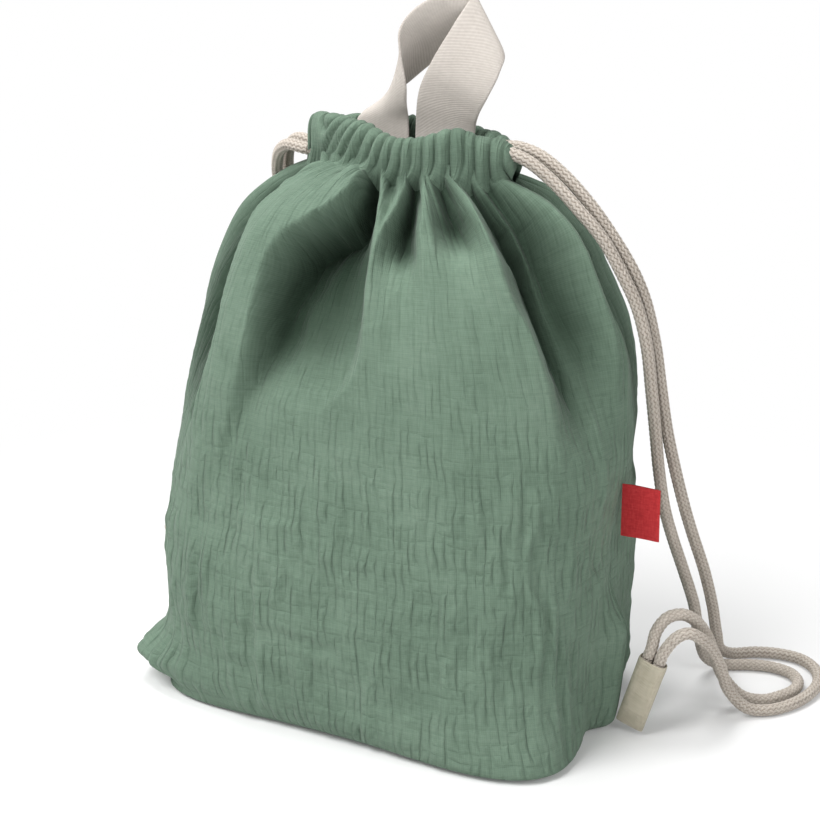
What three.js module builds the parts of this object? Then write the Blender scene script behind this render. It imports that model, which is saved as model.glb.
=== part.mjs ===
// Drawstring backpack of crinkled cotton, standing filled, with its neck drawn closed.
// Millimetres, +Z up, front towards -Y, origin at the middle of the base.
import * as THREE from "three";

// Cloth
const panelThickness = 1.5;
const liningThickness = 0.8;
const bindingThickness = 1.2;
const bindingWidth = 10;
const bottomSeamEnd = 5;
const clearance = 0.3;

// Filled body: width and depth of each section, and its rise above the section under it
const restWidth = 196;
const restDepth = 140;
const footWidth = 208;
const footDepth = 151;
const footRise = 2.5;
const hemWidth = 216;
const hemDepth = 160;
const hemRise = 7.5;
const hipWidth = 224;
const hipRise = 30;
const bellyWidth = 234;
const bellyDepth = 162;
const bellyRise = 60;
const chestWidth = 230;
const chestDepth = 148;
const chestRise = 80;
const shoulderWidth = 194;
const shoulderDepth = 112;
const shoulderRise = 60;
const collarWidth = 160;
const collarDepth = 82;
const collarRise = 24;
const neckWidth = 108;
const neckDepth = 48;
const neckRise = 13.5;

// Gathered casing
const casingHeight = 22.2;
const casingThickness = 11;
const casingWall = 1.5;
const casingWidth = 104;
const casingBow = 15.5;

// Drawcords
const cordDiameter = 6;
const cordSpacing = 8;
const cordSides = 8;
const cordStep = 3 * cordDiameter;
const upperCordDrop = 8.5;
const cordLead = 1.6;

// Carry loop of webbing
const webbingWidth = 32;
const webbingThickness = 2;
const foldThickness = 0.4;
const loopSewnDepth = 22;
const loopLegSpacing = 36;
const loopHeight = 62;
const loopSections = 30;

// Cord tabs in the lower side seams
const tabWidth = 15;
const tabThickness = 8.6;
const tabLength = 40;
const tabWall = 1;
const tabLean = 17;
const tabFloorGap = 2.5;
const tabGap = 0.8;
const cordEndLength = 34;

// Woven label in the right side seam
const labelReach = 20;
const labelHeight = 27;
const labelThickness = 1.2;
const labelFoot = 106;
const labelGap = 0.75;

// Sections from the resting face up to the neck. Each outline is a superellipse of its own power: a filled
// square base that rounds off to an oval neck.
const outlinePowers = [4.5, 4.5, 4.2, 3.5, 3, 2.6, 2.2, 2, 2];
const sections = [];
function addSection(rise, width, depth) {
  const under = sections.length ? sections[sections.length - 1].height : 0;
  const power = outlinePowers[sections.length];
  sections.push({ height: under + rise, halfWidth: width / 2, halfDepth: depth / 2, power });
}
addSection(0, restWidth, restDepth);
addSection(footRise, footWidth, footDepth);
addSection(hemRise, hemWidth, hemDepth);
addSection(hipRise, hipWidth, bellyDepth);
addSection(bellyRise, bellyWidth, bellyDepth);
addSection(chestRise, chestWidth, chestDepth);
addSection(shoulderRise, shoulderWidth, shoulderDepth);
addSection(collarRise, collarWidth, collarDepth);
addSection(neckRise, neckWidth, neckDepth);
const neckLevel = sections.length - 1;
const neckHeight = sections[neckLevel].height;
const hemHeight = sections[2].height;

// Ridges and valleys of the gathered cloth, in order round each panel. Each row of a line is a level, an
// angle and a height, from the neck down. Angle 0 is the right side seam, -90 the middle of the front.
const seamLine = (angle) => [[neckLevel, angle, 0]];
const frontFolds = [
  seamLine(-180),
  [[8, -168, 0], [7.5, -167, -1], [7, -166, -1], [6, -162, 1], [5.2, -160, 2], [4.3, -162, 0]],
  [
    [8, -152, -1], [7.2, -150, -5], [6.2, -146, -8], [5.7, -144, -8], [5.3, -140, -7], [4.9, -138, -5],
    [4.5, -140, -1], [4.2, -142, 0],
  ],
  [
    [8, -116, 2], [7.4, -119, 9], [6.6, -120, 13], [6, -120, 14], [5.6, -121, 12], [5.3, -123, 10],
    [4.9, -126, 7], [4.6, -129, 4], [4.3, -133, 2], [3.8, -137, 0],
  ],
  [
    [8, -99, -2], [7.4, -102, -14], [6.9, -106, -21], [6.4, -110, -25], [5.9, -112, -24],
    [5.6, -113, -20], [5.3, -114, -13], [5.1, -115, -7], [4.8, -117, -1], [4.5, -119, 0],
  ],
  [
    [8, -91, -2], [7.4, -93, -16], [6.9, -97, -21], [6.4, -98, -22], [6, -99, -19], [5.6, -100, -14],
    [5.3, -102, -9], [5.1, -104, -4], [4.9, -106, 0], [4.5, -108, 0],
  ],
  [
    [8, -85, 0], [7.4, -88, -8], [6.5, -89, -12], [5.8, -88, -11], [5.5, -87, -8], [5.3, -87, -5],
    [5.1, -89, -2], [4.9, -95, 0], [4.6, -102, 0],
  ],
  [
    [8, -80, 1], [7.1, -79, 4], [6.3, -80, 7], [5.8, -80, 8], [5.5, -80, 7], [5.3, -81, 5],
    [5.1, -84, 3], [4.9, -91, 1], [4.7, -97, 0],
  ],
  [
    [8, -75, -2], [7.4, -75.5, -11], [6.8, -75, -14], [6.2, -72.5, -9], [5.85, -71, 2], [5.4, -71, 5],
    [4.9, -72, 2], [4.6, -73, 0],
  ],
  [
    [8, -63, 2], [7.6, -62, 4], [6.6, -63.5, 6], [6, -63, 6], [5.5, -62.5, 5], [5, -62, 2],
    [4.6, -62, 0],
  ],
  [
    [8, -51, -2], [7.5, -49, -10], [7, -49, -13], [6.5, -51, -8], [6, -51, 3], [5.5, -50, 5],
    [5, -49, 2], [4.6, -49, 0],
  ],
  [
    [8, -39, 1], [7.5, -38.5, 5], [6.6, -41, 9], [6.1, -40.5, 11], [5.8, -40, 11], [5.6, -37.5, 10],
    [5.3, -35.5, 8], [5.1, -34.5, 5], [4.9, -34, 2], [4.6, -33, 0],
  ],
  [
    [8, -31, -2], [7.4, -30, -15], [6.9, -29, -23], [6.3, -28, -29], [5.8, -26, -27], [5.4, -25, -21],
    [5.1, -24, -14], [4.9, -23, -8], [4.6, -22, -2], [4.3, -22, 0],
  ],
  [
    [8, -22, -1], [7.4, -20, -9], [6.9, -19, -15], [6.3, -18, -18], [5.8, -16, -16], [5.4, -15, -11],
    [5.1, -15, -6], [4.8, -15, -2], [4.4, -15, 0],
  ],
  [
    [8, -12, 1], [7.4, -9, 4], [6.6, -8, 6], [6, -6, 6], [5.6, -5, 5], [5.2, -5, 3], [4.7, -5, 1],
    [4.3, -5, 0],
  ],
  seamLine(0),
];
const backFolds = [
  seamLine(0),
  [
    [8, 6, -1], [7.4, 10, -4], [6.9, 10, -7], [6.4, 10, -9], [5.8, 11, -8], [5.2, 14, -4], [4.8, 15, 0],
  ],
  [[8, 24, 1], [7, 24, 5], [6, 24, 5], [5, 24, 1], [4.6, 24, 0]],
  [[8, 38, -1], [7.3, 37, -12], [6.6, 36, -18], [5.8, 35, -14], [5, 33, -3], [4.5, 32, 0]],
  [[8, 52, 1], [7, 52, 5], [6, 51, 6], [5, 50, 2], [4.5, 50, 0]],
  [[8, 66, -1], [7.3, 66, -14], [6.6, 67, -20], [5.8, 68, -13], [5.1, 69, -3], [4.6, 70, 0]],
  [[8, 80, 1], [7, 80, 5], [6, 81, 6], [5, 82, 2], [4.5, 82, 0]],
  [[8, 94, -1], [7.3, 94, -13], [6.6, 93, -20], [5.6, 92, -15], [4.9, 91, -4], [4.4, 90, 0]],
  [[8, 107, 1], [7, 107, 5], [6, 106, 6], [5, 105, 2], [4.5, 105, 0]],
  [[8, 121, -1], [7.3, 120, -14], [6.6, 119, -19], [5.8, 118, -12], [5.1, 118, -3], [4.6, 118, 0]],
  [[8, 134, 1], [7, 134, 5], [6, 134, 6], [5, 134, 2], [4.5, 134, 0]],
  [[8, 149, -1], [7.3, 150, -11], [6.6, 150, -16], [5.8, 151, -12], [5, 152, -3], [4.5, 152, 0]],
  [[8, 165, 1], [7, 165, 4], [6, 166, 4], [5, 167, 1], [4.5, 167, 0]],
  seamLine(180),
];

// Levels between which the ridges die away under the casing, levels between which the smooth lower wall goes
// over into the folds, and the strip beside a seam that stays flat
const ridgeFade = 6.9;
const ridgeEnd = 7.6;
const wallEnd = 2.6;
const foldsEnd = 3.6;
const seamFlat = 3;

// Rounded swellings: level, angle, half height in levels, half width in degrees, height
const hipSwell = 9;
const cornerSwell = 24;
const footSwell = 16;
const sideHollow = 3;
const sideSwell = 4;
const swells = [
  [3.4, -140, 0.9, 40, hipSwell],
  [2.3, -149, 0.45, 17, cornerSwell],
  [1, -42, 1.6, 24, footSwell],
  [3.95, 0, 0.5, 30, -sideHollow],
  [4.55, -20, 0.25, 28, sideSwell],
];

// The slack corner of the cloth at each lower side seam stands out as a fin that carries the cord tab.
const finReach = 11;
const finWidth = 7;
const finFoot = 1;
const finTop = 3.25;
const finFade = 0.5;

const radians = THREE.MathUtils.degToRad;
const smooth = THREE.MathUtils.smoothstep;
const lerp = THREE.MathUtils.lerp;

// One value of the body's spline of sections at a level
function sectionValue(level, key) {
  const last = sections.length - 1;
  const i = Math.min(Math.max(Math.floor(level), 0), last - 1);
  const [a, b, c, d] = [-1, 0, 1, 2].map((k) => sections[Math.min(Math.max(i + k, 0), last)][key]);
  const t = level - i;
  const bend = (2 * a - 5 * b + 4 * c - d) * t * t + (3 * b - a - 3 * c + d) * t * t * t;
  return 0.5 * (2 * b + (c - a) * t + bend);
}

// Smallest turn between two angles in degrees
function turnBetween(a, b) {
  return ((((a - b + 180) % 360) + 360) % 360) - 180;
}

function bump(distance, halfWidth) {
  return Math.exp(-((distance / halfWidth) ** 2));
}

// A fold line's level, angle and height where it crosses a level
function foldLineAt(rows, level) {
  const lower = rows.findIndex(([at]) => at <= level);
  if (lower < 0) return rows[rows.length - 1];
  if (lower === 0) return rows[0];
  const [above, below] = [rows[lower - 1], rows[lower]];
  const t = (level - below[0]) / (above[0] - below[0]);
  return above.map((value, k) => lerp(below[k], value, t));
}

function foldHeight(folds, angle, level) {
  const lines = folds.map((rows) => foldLineAt(rows, level));
  const after = lines.findIndex((line) => line[1] > angle);
  const next = after < 0 ? lines.length - 1 : after;
  const [a, b] = [lines[next - 1], lines[next]];
  const height = lerp(a[2], b[2], smooth(angle, a[1], b[1]));
  return height > 0 ? height * (1 - smooth(level, ridgeFade, ridgeEnd)) : height;
}

function swellHeight(angle, level) {
  let height = 0;
  for (const [atLevel, atAngle, halfLevel, halfAngle, rise] of swells) {
    height += rise * bump(level - atLevel, halfLevel) * bump(turnBetween(angle, atAngle), halfAngle);
  }
  return height;
}

function finHeight(angle, level) {
  const along = smooth(level, 0, finFoot) * (1 - smooth(level, finTop, finTop + finFade));
  return finReach * along * (bump(turnBetween(angle, 0), finWidth) + bump(turnBetween(angle, 180), finWidth));
}

// Radius of the unfolded body towards an angle
function smoothRadius(angle, level) {
  const t = radians(angle);
  const direction = Math.atan2(bellyDepth * Math.sin(t), bellyWidth * Math.cos(t));
  const power = sectionValue(level, "power");
  const across = Math.abs(Math.cos(direction) / sectionValue(level, "halfWidth")) ** power;
  const deep = Math.abs(Math.sin(direction) / sectionValue(level, "halfDepth")) ** power;
  return { radius: (across + deep) ** (-1 / power), direction };
}

// A point of the unfolded body
function bodyPoint(angle, level) {
  const { radius, direction } = smoothRadius(angle, level);
  const r = radius + swellHeight(angle, level) + finHeight(angle, level);
  return new THREE.Vector3(r * Math.cos(direction), r * Math.sin(direction), sectionValue(level, "height"));
}

// Outwards, square to the unfolded body: the way that folds stand
const angleStep = 1;
const levelStep = 0.05;
function outward(angle, level) {
  const at = (turn, rise) => bodyPoint(angle + turn, Math.min(level + rise, neckLevel));
  const along = at(angleStep, 0).sub(at(-angleStep, 0));
  const up = at(0, levelStep).sub(at(0, -levelStep));
  return along.cross(up).normalize();
}

// Inwards through the cloth: up over the base, level in the lower wall and square to the body where it folds
function inward(angle, level) {
  const { direction } = smoothRadius(angle, level);
  const lift = 1 - smooth(sectionValue(level, "height"), 0, 2 * hemHeight);
  const levelIn = new THREE.Vector3(-Math.cos(direction), -Math.sin(direction), lift);
  return levelIn.lerp(outward(angle, level).negate(), smooth(level, wallEnd, foldsEnd));
}

// A point of the cloth, with no fold higher than the highest given. Level -1 is the bottom seam.
function clothPoint(side, angle, level, inset, highest) {
  const wall = Math.max(level, 0);
  const point = bodyPoint(angle, wall);
  const beside = smooth(Math.abs(point.y), 0, seamFlat);
  point.addScaledVector(inward(angle, wall), inset);
  if (wall > foldsEnd) {
    const height = foldHeight(side < 0 ? frontFolds : backFolds, angle, wall);
    point.addScaledVector(outward(angle, wall), beside * Math.min(height, highest));
  }
  point.y = side * Math.max(side * point.y, clearance / 2);
  if (level >= 0) return point;
  const reach = restWidth / 2 - inset - bottomSeamEnd;
  const seam = new THREE.Vector3(reach * (1 - Math.abs(angle) / 90), (side * clearance) / 2, point.z);
  return seam.lerp(point, level + 1);
}

// Meshes
const group = new THREE.Group();

function material(colour, roughness) {
  return new THREE.MeshStandardMaterial({ color: colour, roughness, metalness: 0 });
}
const gauze = material(0x66846b, 0.95);
const liningCloth = material(0x8c9c8b, 0.9);
const tape = material(0x7b917c, 0.9);
const cotton = material(0xd6cdc2, 0.9);
const webbing = material(0xe2dcd4, 0.9);
const twill = material(0xc9c2ae, 0.9);
const redWeave = material(0xb5393b, 0.8);

function addMesh(name, geometry, finish, parent = group) {
  const mesh = new THREE.Mesh(geometry, finish);
  mesh.name = name;
  parent.add(mesh);
  return mesh;
}

function indexed(points, faces) {
  const geometry = new THREE.BufferGeometry().setFromPoints(points);
  geometry.setIndex(faces.flat());
  geometry.computeVertexNormals();
  return geometry;
}

// A closed sheet between an outer and an inner grid of points
function sheet(anglesAt, levels, outerPoint, innerPoint) {
  const points = [];
  for (const place of [outerPoint, innerPoint]) {
    for (const level of levels) points.push(...anglesAt(level).map((angle) => place(angle, level)));
  }
  const columns = anglesAt(levels[0]).length;
  const layer = columns * levels.length;
  const at = (row, column, k) => k * layer + row * columns + column;
  const faces = [];
  const quad = (a, b, c, d) => faces.push([a, b, c], [a, c, d]);
  for (let row = 0; row + 1 < levels.length; row++) {
    for (let column = 0; column + 1 < columns; column++) {
      const [a, b] = [at(row, column, 0), at(row, column + 1, 0)];
      const [d, c] = [at(row + 1, column, 0), at(row + 1, column + 1, 0)];
      // The diagonals mirror about the middle, so that none lies along the seam at the base
      const [p, q, r, s] = column < columns / 2 - 1 ? [a, b, c, d] : [b, c, d, a];
      quad(p, q, r, s);
      quad(p + layer, s + layer, r + layer, q + layer);
    }
    const [left, right] = [at(row, 0, 0), at(row, columns - 1, 0)];
    quad(left + layer, left, left + columns, left + columns + layer);
    quad(right, right + layer, right + columns + layer, right + columns);
  }
  for (let column = 0; column + 1 < columns; column++) {
    const [low, high] = [at(0, column, 0), at(levels.length - 1, column, 0)];
    quad(low + layer, low + 1 + layer, low + 1, low);
    quad(high, high + 1, high + 1 + layer, high + layer);
  }
  return indexed(points, faces);
}

// A closed solid through rings of points, hollow where inner rings are given
function loft(rings, innerRings) {
  const points = [...rings, ...(innerRings ?? [])].flat();
  const sides = rings[0].length;
  const hollow = sides * rings.length;
  const faces = [];
  const quad = (a, b, c, d) => faces.push([a, b, c], [a, c, d]);
  const last = (rings.length - 1) * sides;
  for (let k = 0; k < sides; k++) {
    const next = (k + 1) % sides;
    for (let i = 0; i + 1 < rings.length; i++) {
      const [low, high] = [i * sides, (i + 1) * sides];
      quad(low + k, low + next, high + next, high + k);
      if (innerRings) quad(hollow + low + next, hollow + low + k, hollow + high + k, hollow + high + next);
    }
    if (innerRings) {
      quad(next, k, hollow + k, hollow + next);
      quad(last + k, last + next, hollow + last + next, hollow + last + k);
    } else if (k > 0 && k + 1 < sides) {
      faces.push([0, k + 1, k], [last, last + k, last + k + 1]);
    }
  }
  return indexed(points, faces);
}

const spread = (from, to, count) => Array.from({ length: count + 1 }, (_, i) => lerp(from, to, i / count));

// Outer panels. Their columns follow the fold lines, and their rows lie closer where the cloth folds.
const frontSteps = 3;
const backSteps = 2;
const panelLevels = [
  -1, 0, 0.5, 1, 1.5, 2, 2.4, 2.8, 3.2, 3.6, 4, 4.4, 4.8, 5.2, 5.6, 6, 6.3, 6.6, 6.9, 7.2, 7.6, 8,
];
function columnsAlong(folds, steps, level) {
  const angles = folds.map((rows) => foldLineAt(rows, level)[1]);
  const between = angles.slice(1).flatMap((angle, k) => spread(angles[k], angle, steps).slice(1));
  return [angles[0], ...between];
}
function panelAngles(side, level) {
  return side < 0 ? columnsAlong(frontFolds, frontSteps, level) : columnsAlong(backFolds, backSteps, level);
}
function addPanel(name, side, inset, thickness, highest, finish) {
  const face = (depth) => (angle, level) => clothPoint(side, angle, level, depth, highest);
  const anglesAt = (level) => panelAngles(side, level);
  addMesh(name, sheet(anglesAt, panelLevels, face(inset), face(inset + thickness)), finish);
}
addPanel("front_panel", -1, 0, panelThickness, Infinity, gauze);
addPanel("back_panel", 1, 0, panelThickness, Infinity, gauze);

// Lining: goes in with the valleys and passes behind the ridges
const liningInset = panelThickness + clearance;
addPanel("lining_front", -1, liningInset, liningThickness, 0, liningCloth);
addPanel("lining_back", 1, liningInset, liningThickness, 0, liningCloth);

// Bindings of the side seams: flat tape that lies across the seam inside the lining
const bindingInset = liningInset + liningThickness + clearance;
const bindingFoot = 1;
const bindingTop = 7.2;
const bindingGap = 2 * clearance;
function liningReach(side, half, level) {
  const angles = panelAngles(half, level);
  if (side * half < 0) angles.reverse();
  const points = angles.map((angle) => clothPoint(half, angle, level, bindingInset - clearance, 0));
  const next = points.findIndex((p) => Math.abs(p.y) > bindingWidth / 2);
  const [a, b] = [points[next - 1], points[next]];
  const share = (bindingWidth / 2 - Math.abs(a.y)) / Math.abs(b.y - a.y);
  return Math.min(...points.slice(0, next).map((p) => Math.abs(p.x)), Math.abs(lerp(a.x, b.x, share)));
}
function addBinding(name, side) {
  const levels = panelLevels.filter((level) => level >= bindingFoot && level <= bindingTop);
  const reaches = levels.map((level) => Math.min(liningReach(side, -1, level), liningReach(side, 1, level)));
  const rings = levels.slice(0, -1).map((level, k) => {
    const x = Math.min(reaches[k], reaches[k + 1]) - bindingGap;
    const z = clothPoint(side, side > 0 ? 0 : 180, level, bindingInset, 0).z;
    return [[0, -1], [0, 1], [1, 1], [1, -1]].map(([depth, across]) => {
      return new THREE.Vector3(side * (x - depth * bindingThickness), (side * across * bindingWidth) / 2, z);
    });
  });
  addMesh(name, loft(rings), tape);
}
addBinding("right_binding", 1);
addBinding("left_binding", -1);

// Binding of the bottom seam
const bottomBinding = new THREE.BoxGeometry(restWidth - 2 * bindingWidth, bindingWidth, bindingThickness);
addMesh("bottom_binding", bottomBinding, tape).position.z = bindingInset + bindingThickness / 2;

// Casings: tunnels whose ends lie flat side by side where the cords leave them
const casingFoot = neckHeight + clearance;
const casingRim = casingFoot + casingHeight;
const casingEndOffset = casingThickness / 2 + clearance;
const bowPower = 3;
const casingSections = 18;
function casingPoint(side, angle) {
  const t = radians(angle);
  const bow = casingBow * Math.abs(Math.sin(t)) ** bowPower;
  return new THREE.Vector2((casingWidth / 2) * Math.cos(t), side * (casingEndOffset + bow));
}
function casingOutward(side, angle) {
  const t = radians(angle);
  const rise = bowPower * casingBow * Math.sin(t) * Math.abs(Math.sin(t)) ** (bowPower - 2) * Math.cos(t);
  const slope = rise / (casingWidth / 2);
  return new THREE.Vector2(side * slope, side).normalize();
}
function roundedRing(halfThickness, halfHeight, corner) {
  const ring = [];
  for (const [sx, sz] of [[1, -1], [1, 1], [-1, 1], [-1, -1]]) {
    const start = Math.atan2(sz, sx) - Math.PI / 4;
    for (const k of [0, 1]) {
      const turn = start + (k * Math.PI) / 2;
      const x = sx * (halfThickness - corner) + corner * Math.cos(turn);
      ring.push([x, sz * (halfHeight - corner) + corner * Math.sin(turn)]);
    }
  }
  return ring;
}
const casingCorner = casingThickness / 3;
const outerRing = roundedRing(casingThickness / 2, casingHeight / 2, casingCorner);
const innerRing = roundedRing(
  casingThickness / 2 - casingWall,
  casingHeight / 2 - casingWall,
  casingCorner - casingWall,
);
function addCasing(name, side) {
  const angles = side < 0 ? spread(0, -180, casingSections) : spread(180, 0, casingSections);
  const ringAt = (ring) => (angle) => {
    const middle = casingPoint(side, angle);
    const out = casingOutward(side, angle);
    return ring.map(([o, z]) => {
      return new THREE.Vector3(middle.x + out.x * o, middle.y + out.y * o, casingFoot + casingHeight / 2 + z);
    });
  };
  addMesh(name, loft(angles.map(ringAt(outerRing)), angles.map(ringAt(innerRing))), gauze);
}
addCasing("front_casing", -1);
addCasing("back_casing", 1);

// Cords
const cordSection = new THREE.Shape(
  Array.from({ length: cordSides }, (_, k) => {
    const turn = (k * 2 * Math.PI) / cordSides;
    return new THREE.Vector2(Math.cos(turn), Math.sin(turn)).multiplyScalar(cordDiameter / 2);
  }),
);
function addCord(name, points, step) {
  const path = new THREE.CatmullRomCurve3(points, false, "centripetal");
  const steps = Math.ceil(path.getLength() / step);
  const geometry = new THREE.ExtrudeGeometry(cordSection, { steps, extrudePath: path, bevelEnabled: false });
  addMesh(name, geometry, cotton);
}

// Each cord runs through one casing, turns at the far end and comes back through the other.
const upperCordHeight = casingRim - upperCordDrop;
const lowerCordHeight = upperCordHeight - cordSpacing;
const runStep = 1.6 * cordDiameter;
const runBends = 12;
const runEndAngle = 22.5;
function addRun(name, exitSide, side, height) {
  const end = casingWidth / 2;
  const points = [[end, casingEndOffset], [end - cordLead, casingEndOffset]];
  for (const angle of spread(runEndAngle, 180 - runEndAngle, runBends)) {
    const p = casingPoint(1, angle);
    points.push([p.x, p.y]);
  }
  points.push([cordLead - end, casingEndOffset], [-end, casingEndOffset]);
  const turn = end + casingEndOffset;
  points.push([-end - casingEndOffset * Math.SQRT1_2, casingEndOffset * Math.SQRT1_2]);
  points.push([-turn, cordLead], [-turn, clearance / 2]);
  const placed = points.map(([x, y]) => new THREE.Vector3(exitSide * x, side * y, height));
  addCord(name, placed, runStep);
}
addRun("right_run_front", 1, -1, upperCordHeight);
addRun("right_run_back", 1, 1, upperCordHeight);
addRun("left_run_front", -1, -1, lowerCordHeight);
addRun("left_run_back", -1, 1, lowerCordHeight);

// Tabs: a sleeve of folded tape seated along the fin, leaning out, with both cord ends inside it
const lean = radians(tabLean);
const seatSamples = 60;
const cordEndOffset = cordDiameter / 2 + clearance / 2;
function tabPlace(side) {
  const reaches = spread(finFoot, finTop, seatSamples).map((level) => {
    const p = bodyPoint(side > 0 ? 0 : 180, level);
    return Math.abs(p.x) * Math.cos(lean) - p.z * Math.sin(lean);
  });
  const middle = Math.max(...reaches) + tabGap + tabWidth / 2;
  const foot = (tabFloorGap + (middle + tabWidth / 2) * Math.sin(lean)) / Math.cos(lean);
  return { middle, foot, mouth: foot + tabLength };
}
function tabRing(halfWidth, halfThickness, height) {
  return [[1, -1], [1, 1], [-1, 1], [-1, -1]].map(
    ([x, y]) => new THREE.Vector3(x * halfWidth, y * halfThickness, height),
  );
}
function addTab(name, side) {
  const { middle, foot, mouth } = tabPlace(side);
  const holder = new THREE.Group();
  holder.rotation.y = side * lean;
  group.add(holder);
  const outer = [foot, mouth].map((h) => tabRing(tabWidth / 2, tabThickness / 2, h));
  const inner = [foot, mouth].map((h) => tabRing(tabWidth / 2 - tabWall, tabThickness / 2 - tabWall, h));
  addMesh(name + "_tab", loft(outer, inner), twill, holder).position.x = side * middle;
  for (const [end, offset] of [["front", -cordEndOffset], ["back", cordEndOffset]]) {
    const stub = new THREE.CylinderGeometry(cordDiameter / 2, cordDiameter / 2, cordEndLength, cordSides);
    stub.rotateX(Math.PI / 2);
    const piece = addMesh(name + "_end_" + end, stub, cotton, holder);
    piece.position.set(side * (middle + offset), 0, mouth - cordEndLength / 2);
  }
}
addTab("right", 1);
addTab("left", -1);

// A point over a tab's mouth, in line with one of its cord ends
function mouthPoint(side, offset, above) {
  const place = tabPlace(side);
  const w = place.middle + offset;
  const k = place.mouth + above;
  const x = w * Math.cos(lean) + k * Math.sin(lean);
  return new THREE.Vector3(side * x, 0, k * Math.cos(lean) - w * Math.sin(lean));
}

// Free strands: out of the casing, down beside the bag, round a loop on the floor and up into the tab
const rightFront = [
  [57, -5.6, 291], [67, -4, 287], [79, -2, 278], [92, 0, 265], [103, 3, 252], [112.5, 6, 235],
  [119, 9, 220], [123.5, 12, 201], [125.5, 16, 177], [126.5, 21, 155], [127, 27, 133], [128, 35, 110],
  [130, 43, 92], [133.5, 53, 70], [136, 64, 48], [136, 75, 25], [138, 84, 9], [145, 92, 3.3],
  [157, 98, 3.3], [170, 101, 3.3], [181, 98, 3.3], [187, 90, 3.3], [188, 80, 3.3], [184, 70, 3.3],
  [177, 61, 3.3], [168, 55, 6], [160, 47, 18], [158, 35, 36], [157, 24, 51], [154, 16, 61],
  [149, 10, 66], [143, 5, 65], [138.5, 2, 58],
];
const rightBack = [
  [57, 5.6, 291.6], [68, 5, 289], [80, 6, 281], [93, 8, 268], [103.5, 10.5, 254], [114, 13.5, 237],
  [120, 16.5, 222], [125, 19.5, 200], [127.5, 23.5, 177], [129.5, 28.5, 155], [132, 35, 134], [135.5, 43, 110],
  [138, 51, 92], [141.5, 61, 70], [143, 73, 46], [142, 86, 24], [141, 98, 9], [145, 108, 3.3],
  [155, 115, 3.3], [167, 119, 3.3], [180, 118, 3.3], [190, 110, 3.3], [196, 97, 3.3], [197, 83, 3.3],
  [193, 66, 3.3], [184, 52, 3.3], [174, 45, 5], [166, 38, 16], [164, 28, 33], [162, 18, 47],
  [159, 10, 55], [154.5, 5, 59], [149.5, 2, 57],
];
const leftFront = [
  [-57, -5.4, 283.8], [-66, -2, 284], [-76, 6, 280], [-86, 18, 272], [-95, 32, 260], [-102, 47, 245],
  [-107, 61, 227], [-110, 73, 206], [-111, 82, 184], [-111, 88, 160], [-110, 92, 135], [-110, 93, 110],
  [-111, 93, 85], [-114, 92, 60], [-119, 91, 37], [-126, 92, 18], [-134, 97, 6], [-143, 102, 3.3],
  [-153, 103, 3.3], [-161, 98, 3.3], [-165, 89, 3.3], [-165, 78, 3.3], [-161, 67, 3.3], [-157, 57, 6],
  [-154, 47, 18], [-153, 36, 35], [-153, 25, 50], [-151, 17, 60], [-148, 10, 65], [-143, 5, 65],
  [-138.5, 2, 58],
];
const leftBack = [
  [-57, 5.8, 284.2], [-66, 9, 285.5], [-76, 17, 282], [-86, 29, 274], [-95, 43, 261], [-102, 58, 246],
  [-107, 72, 228], [-110, 83, 207], [-111, 91, 184], [-112, 96, 160], [-113, 100, 135], [-115, 102, 110],
  [-118, 103, 85], [-122, 103, 60], [-127, 103, 37], [-133, 106, 18], [-140, 111, 6], [-150, 115, 3.3],
  [-161, 114, 3.3], [-170, 107, 3.3], [-175, 96, 3.3], [-175, 83, 3.3], [-172, 69, 3.3], [-168, 56, 5],
  [-165, 45, 15], [-163, 34, 30], [-162, 22, 45], [-159, 12, 54], [-154.5, 5, 58], [-149.5, 2, 57],
];
const cordEndLead = 6;
function addStrand(name, exitSide, side, height, route, offset) {
  const exit = new THREE.Vector3(exitSide * (casingWidth / 2 + clearance), side * casingEndOffset, height);
  const points = [exit, exit.clone().setX(exit.x + exitSide * cordLead)];
  points.push(...route.map((p) => new THREE.Vector3(...p)));
  points.push(mouthPoint(exitSide, offset, cordEndLead), mouthPoint(exitSide, offset, clearance));
  addCord(name, points, cordStep);
}
addStrand("right_strand_front", 1, -1, upperCordHeight, rightFront, -cordEndOffset);
addStrand("right_strand_back", 1, 1, upperCordHeight, rightBack, cordEndOffset);
addStrand("left_strand_front", -1, -1, lowerCordHeight, leftFront, -cordEndOffset);
addStrand("left_strand_back", -1, 1, lowerCordHeight, leftBack, cordEndOffset);

// The casing's inner face at a place across, on the facets of its wall
function casingInside(x) {
  const face = spread(0, 180, casingSections).map((angle) => {
    const out = casingOutward(1, angle).multiplyScalar(casingThickness / 2);
    return casingPoint(1, angle).sub(out);
  });
  const next = face.findIndex((p) => p.x < x);
  const [a, b] = [face[next - 1], face[next]];
  return lerp(a.y, b.y, (x - a.x) / (b.x - a.x));
}

// Carry loop: one strip of webbing. Its two ends are sewn flat inside the back casing, and above the rim,
// at its fold, it stands up in an arch with a half turn in it.
// Each row is a share of the arch's height, a place across, a place behind the ends and the width's turn.
const loopFold = casingRim + 2 * clearance;
const loopEndDepth = casingInside((loopLegSpacing + webbingWidth) / 2) - clearance - webbingThickness / 2;
const loopRows = [
  [0, -0.5, 0, 0], [0.16, -0.5, 2, -14], [0.36, -0.44, 4, -62], [0.58, -0.38, 5, -88], [0.8, -0.2, 5, -90],
  [0.95, 0.06, 5, -92], [1, 0.32, 5, -97], [0.94, 0.58, 5, -112], [0.76, 0.78, 5, -134],
  [0.54, 0.8, 4, -154], [0.32, 0.66, 3, -170], [0.12, 0.52, 1, -179], [0, 0.5, 0, -180],
];
const loopPath = new THREE.CatmullRomCurve3(
  loopRows.map(([rise, across, behind]) => {
    return new THREE.Vector3(across * loopLegSpacing, loopEndDepth + behind, loopFold + rise * loopHeight);
  }),
  false,
  "centripetal",
);
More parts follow.
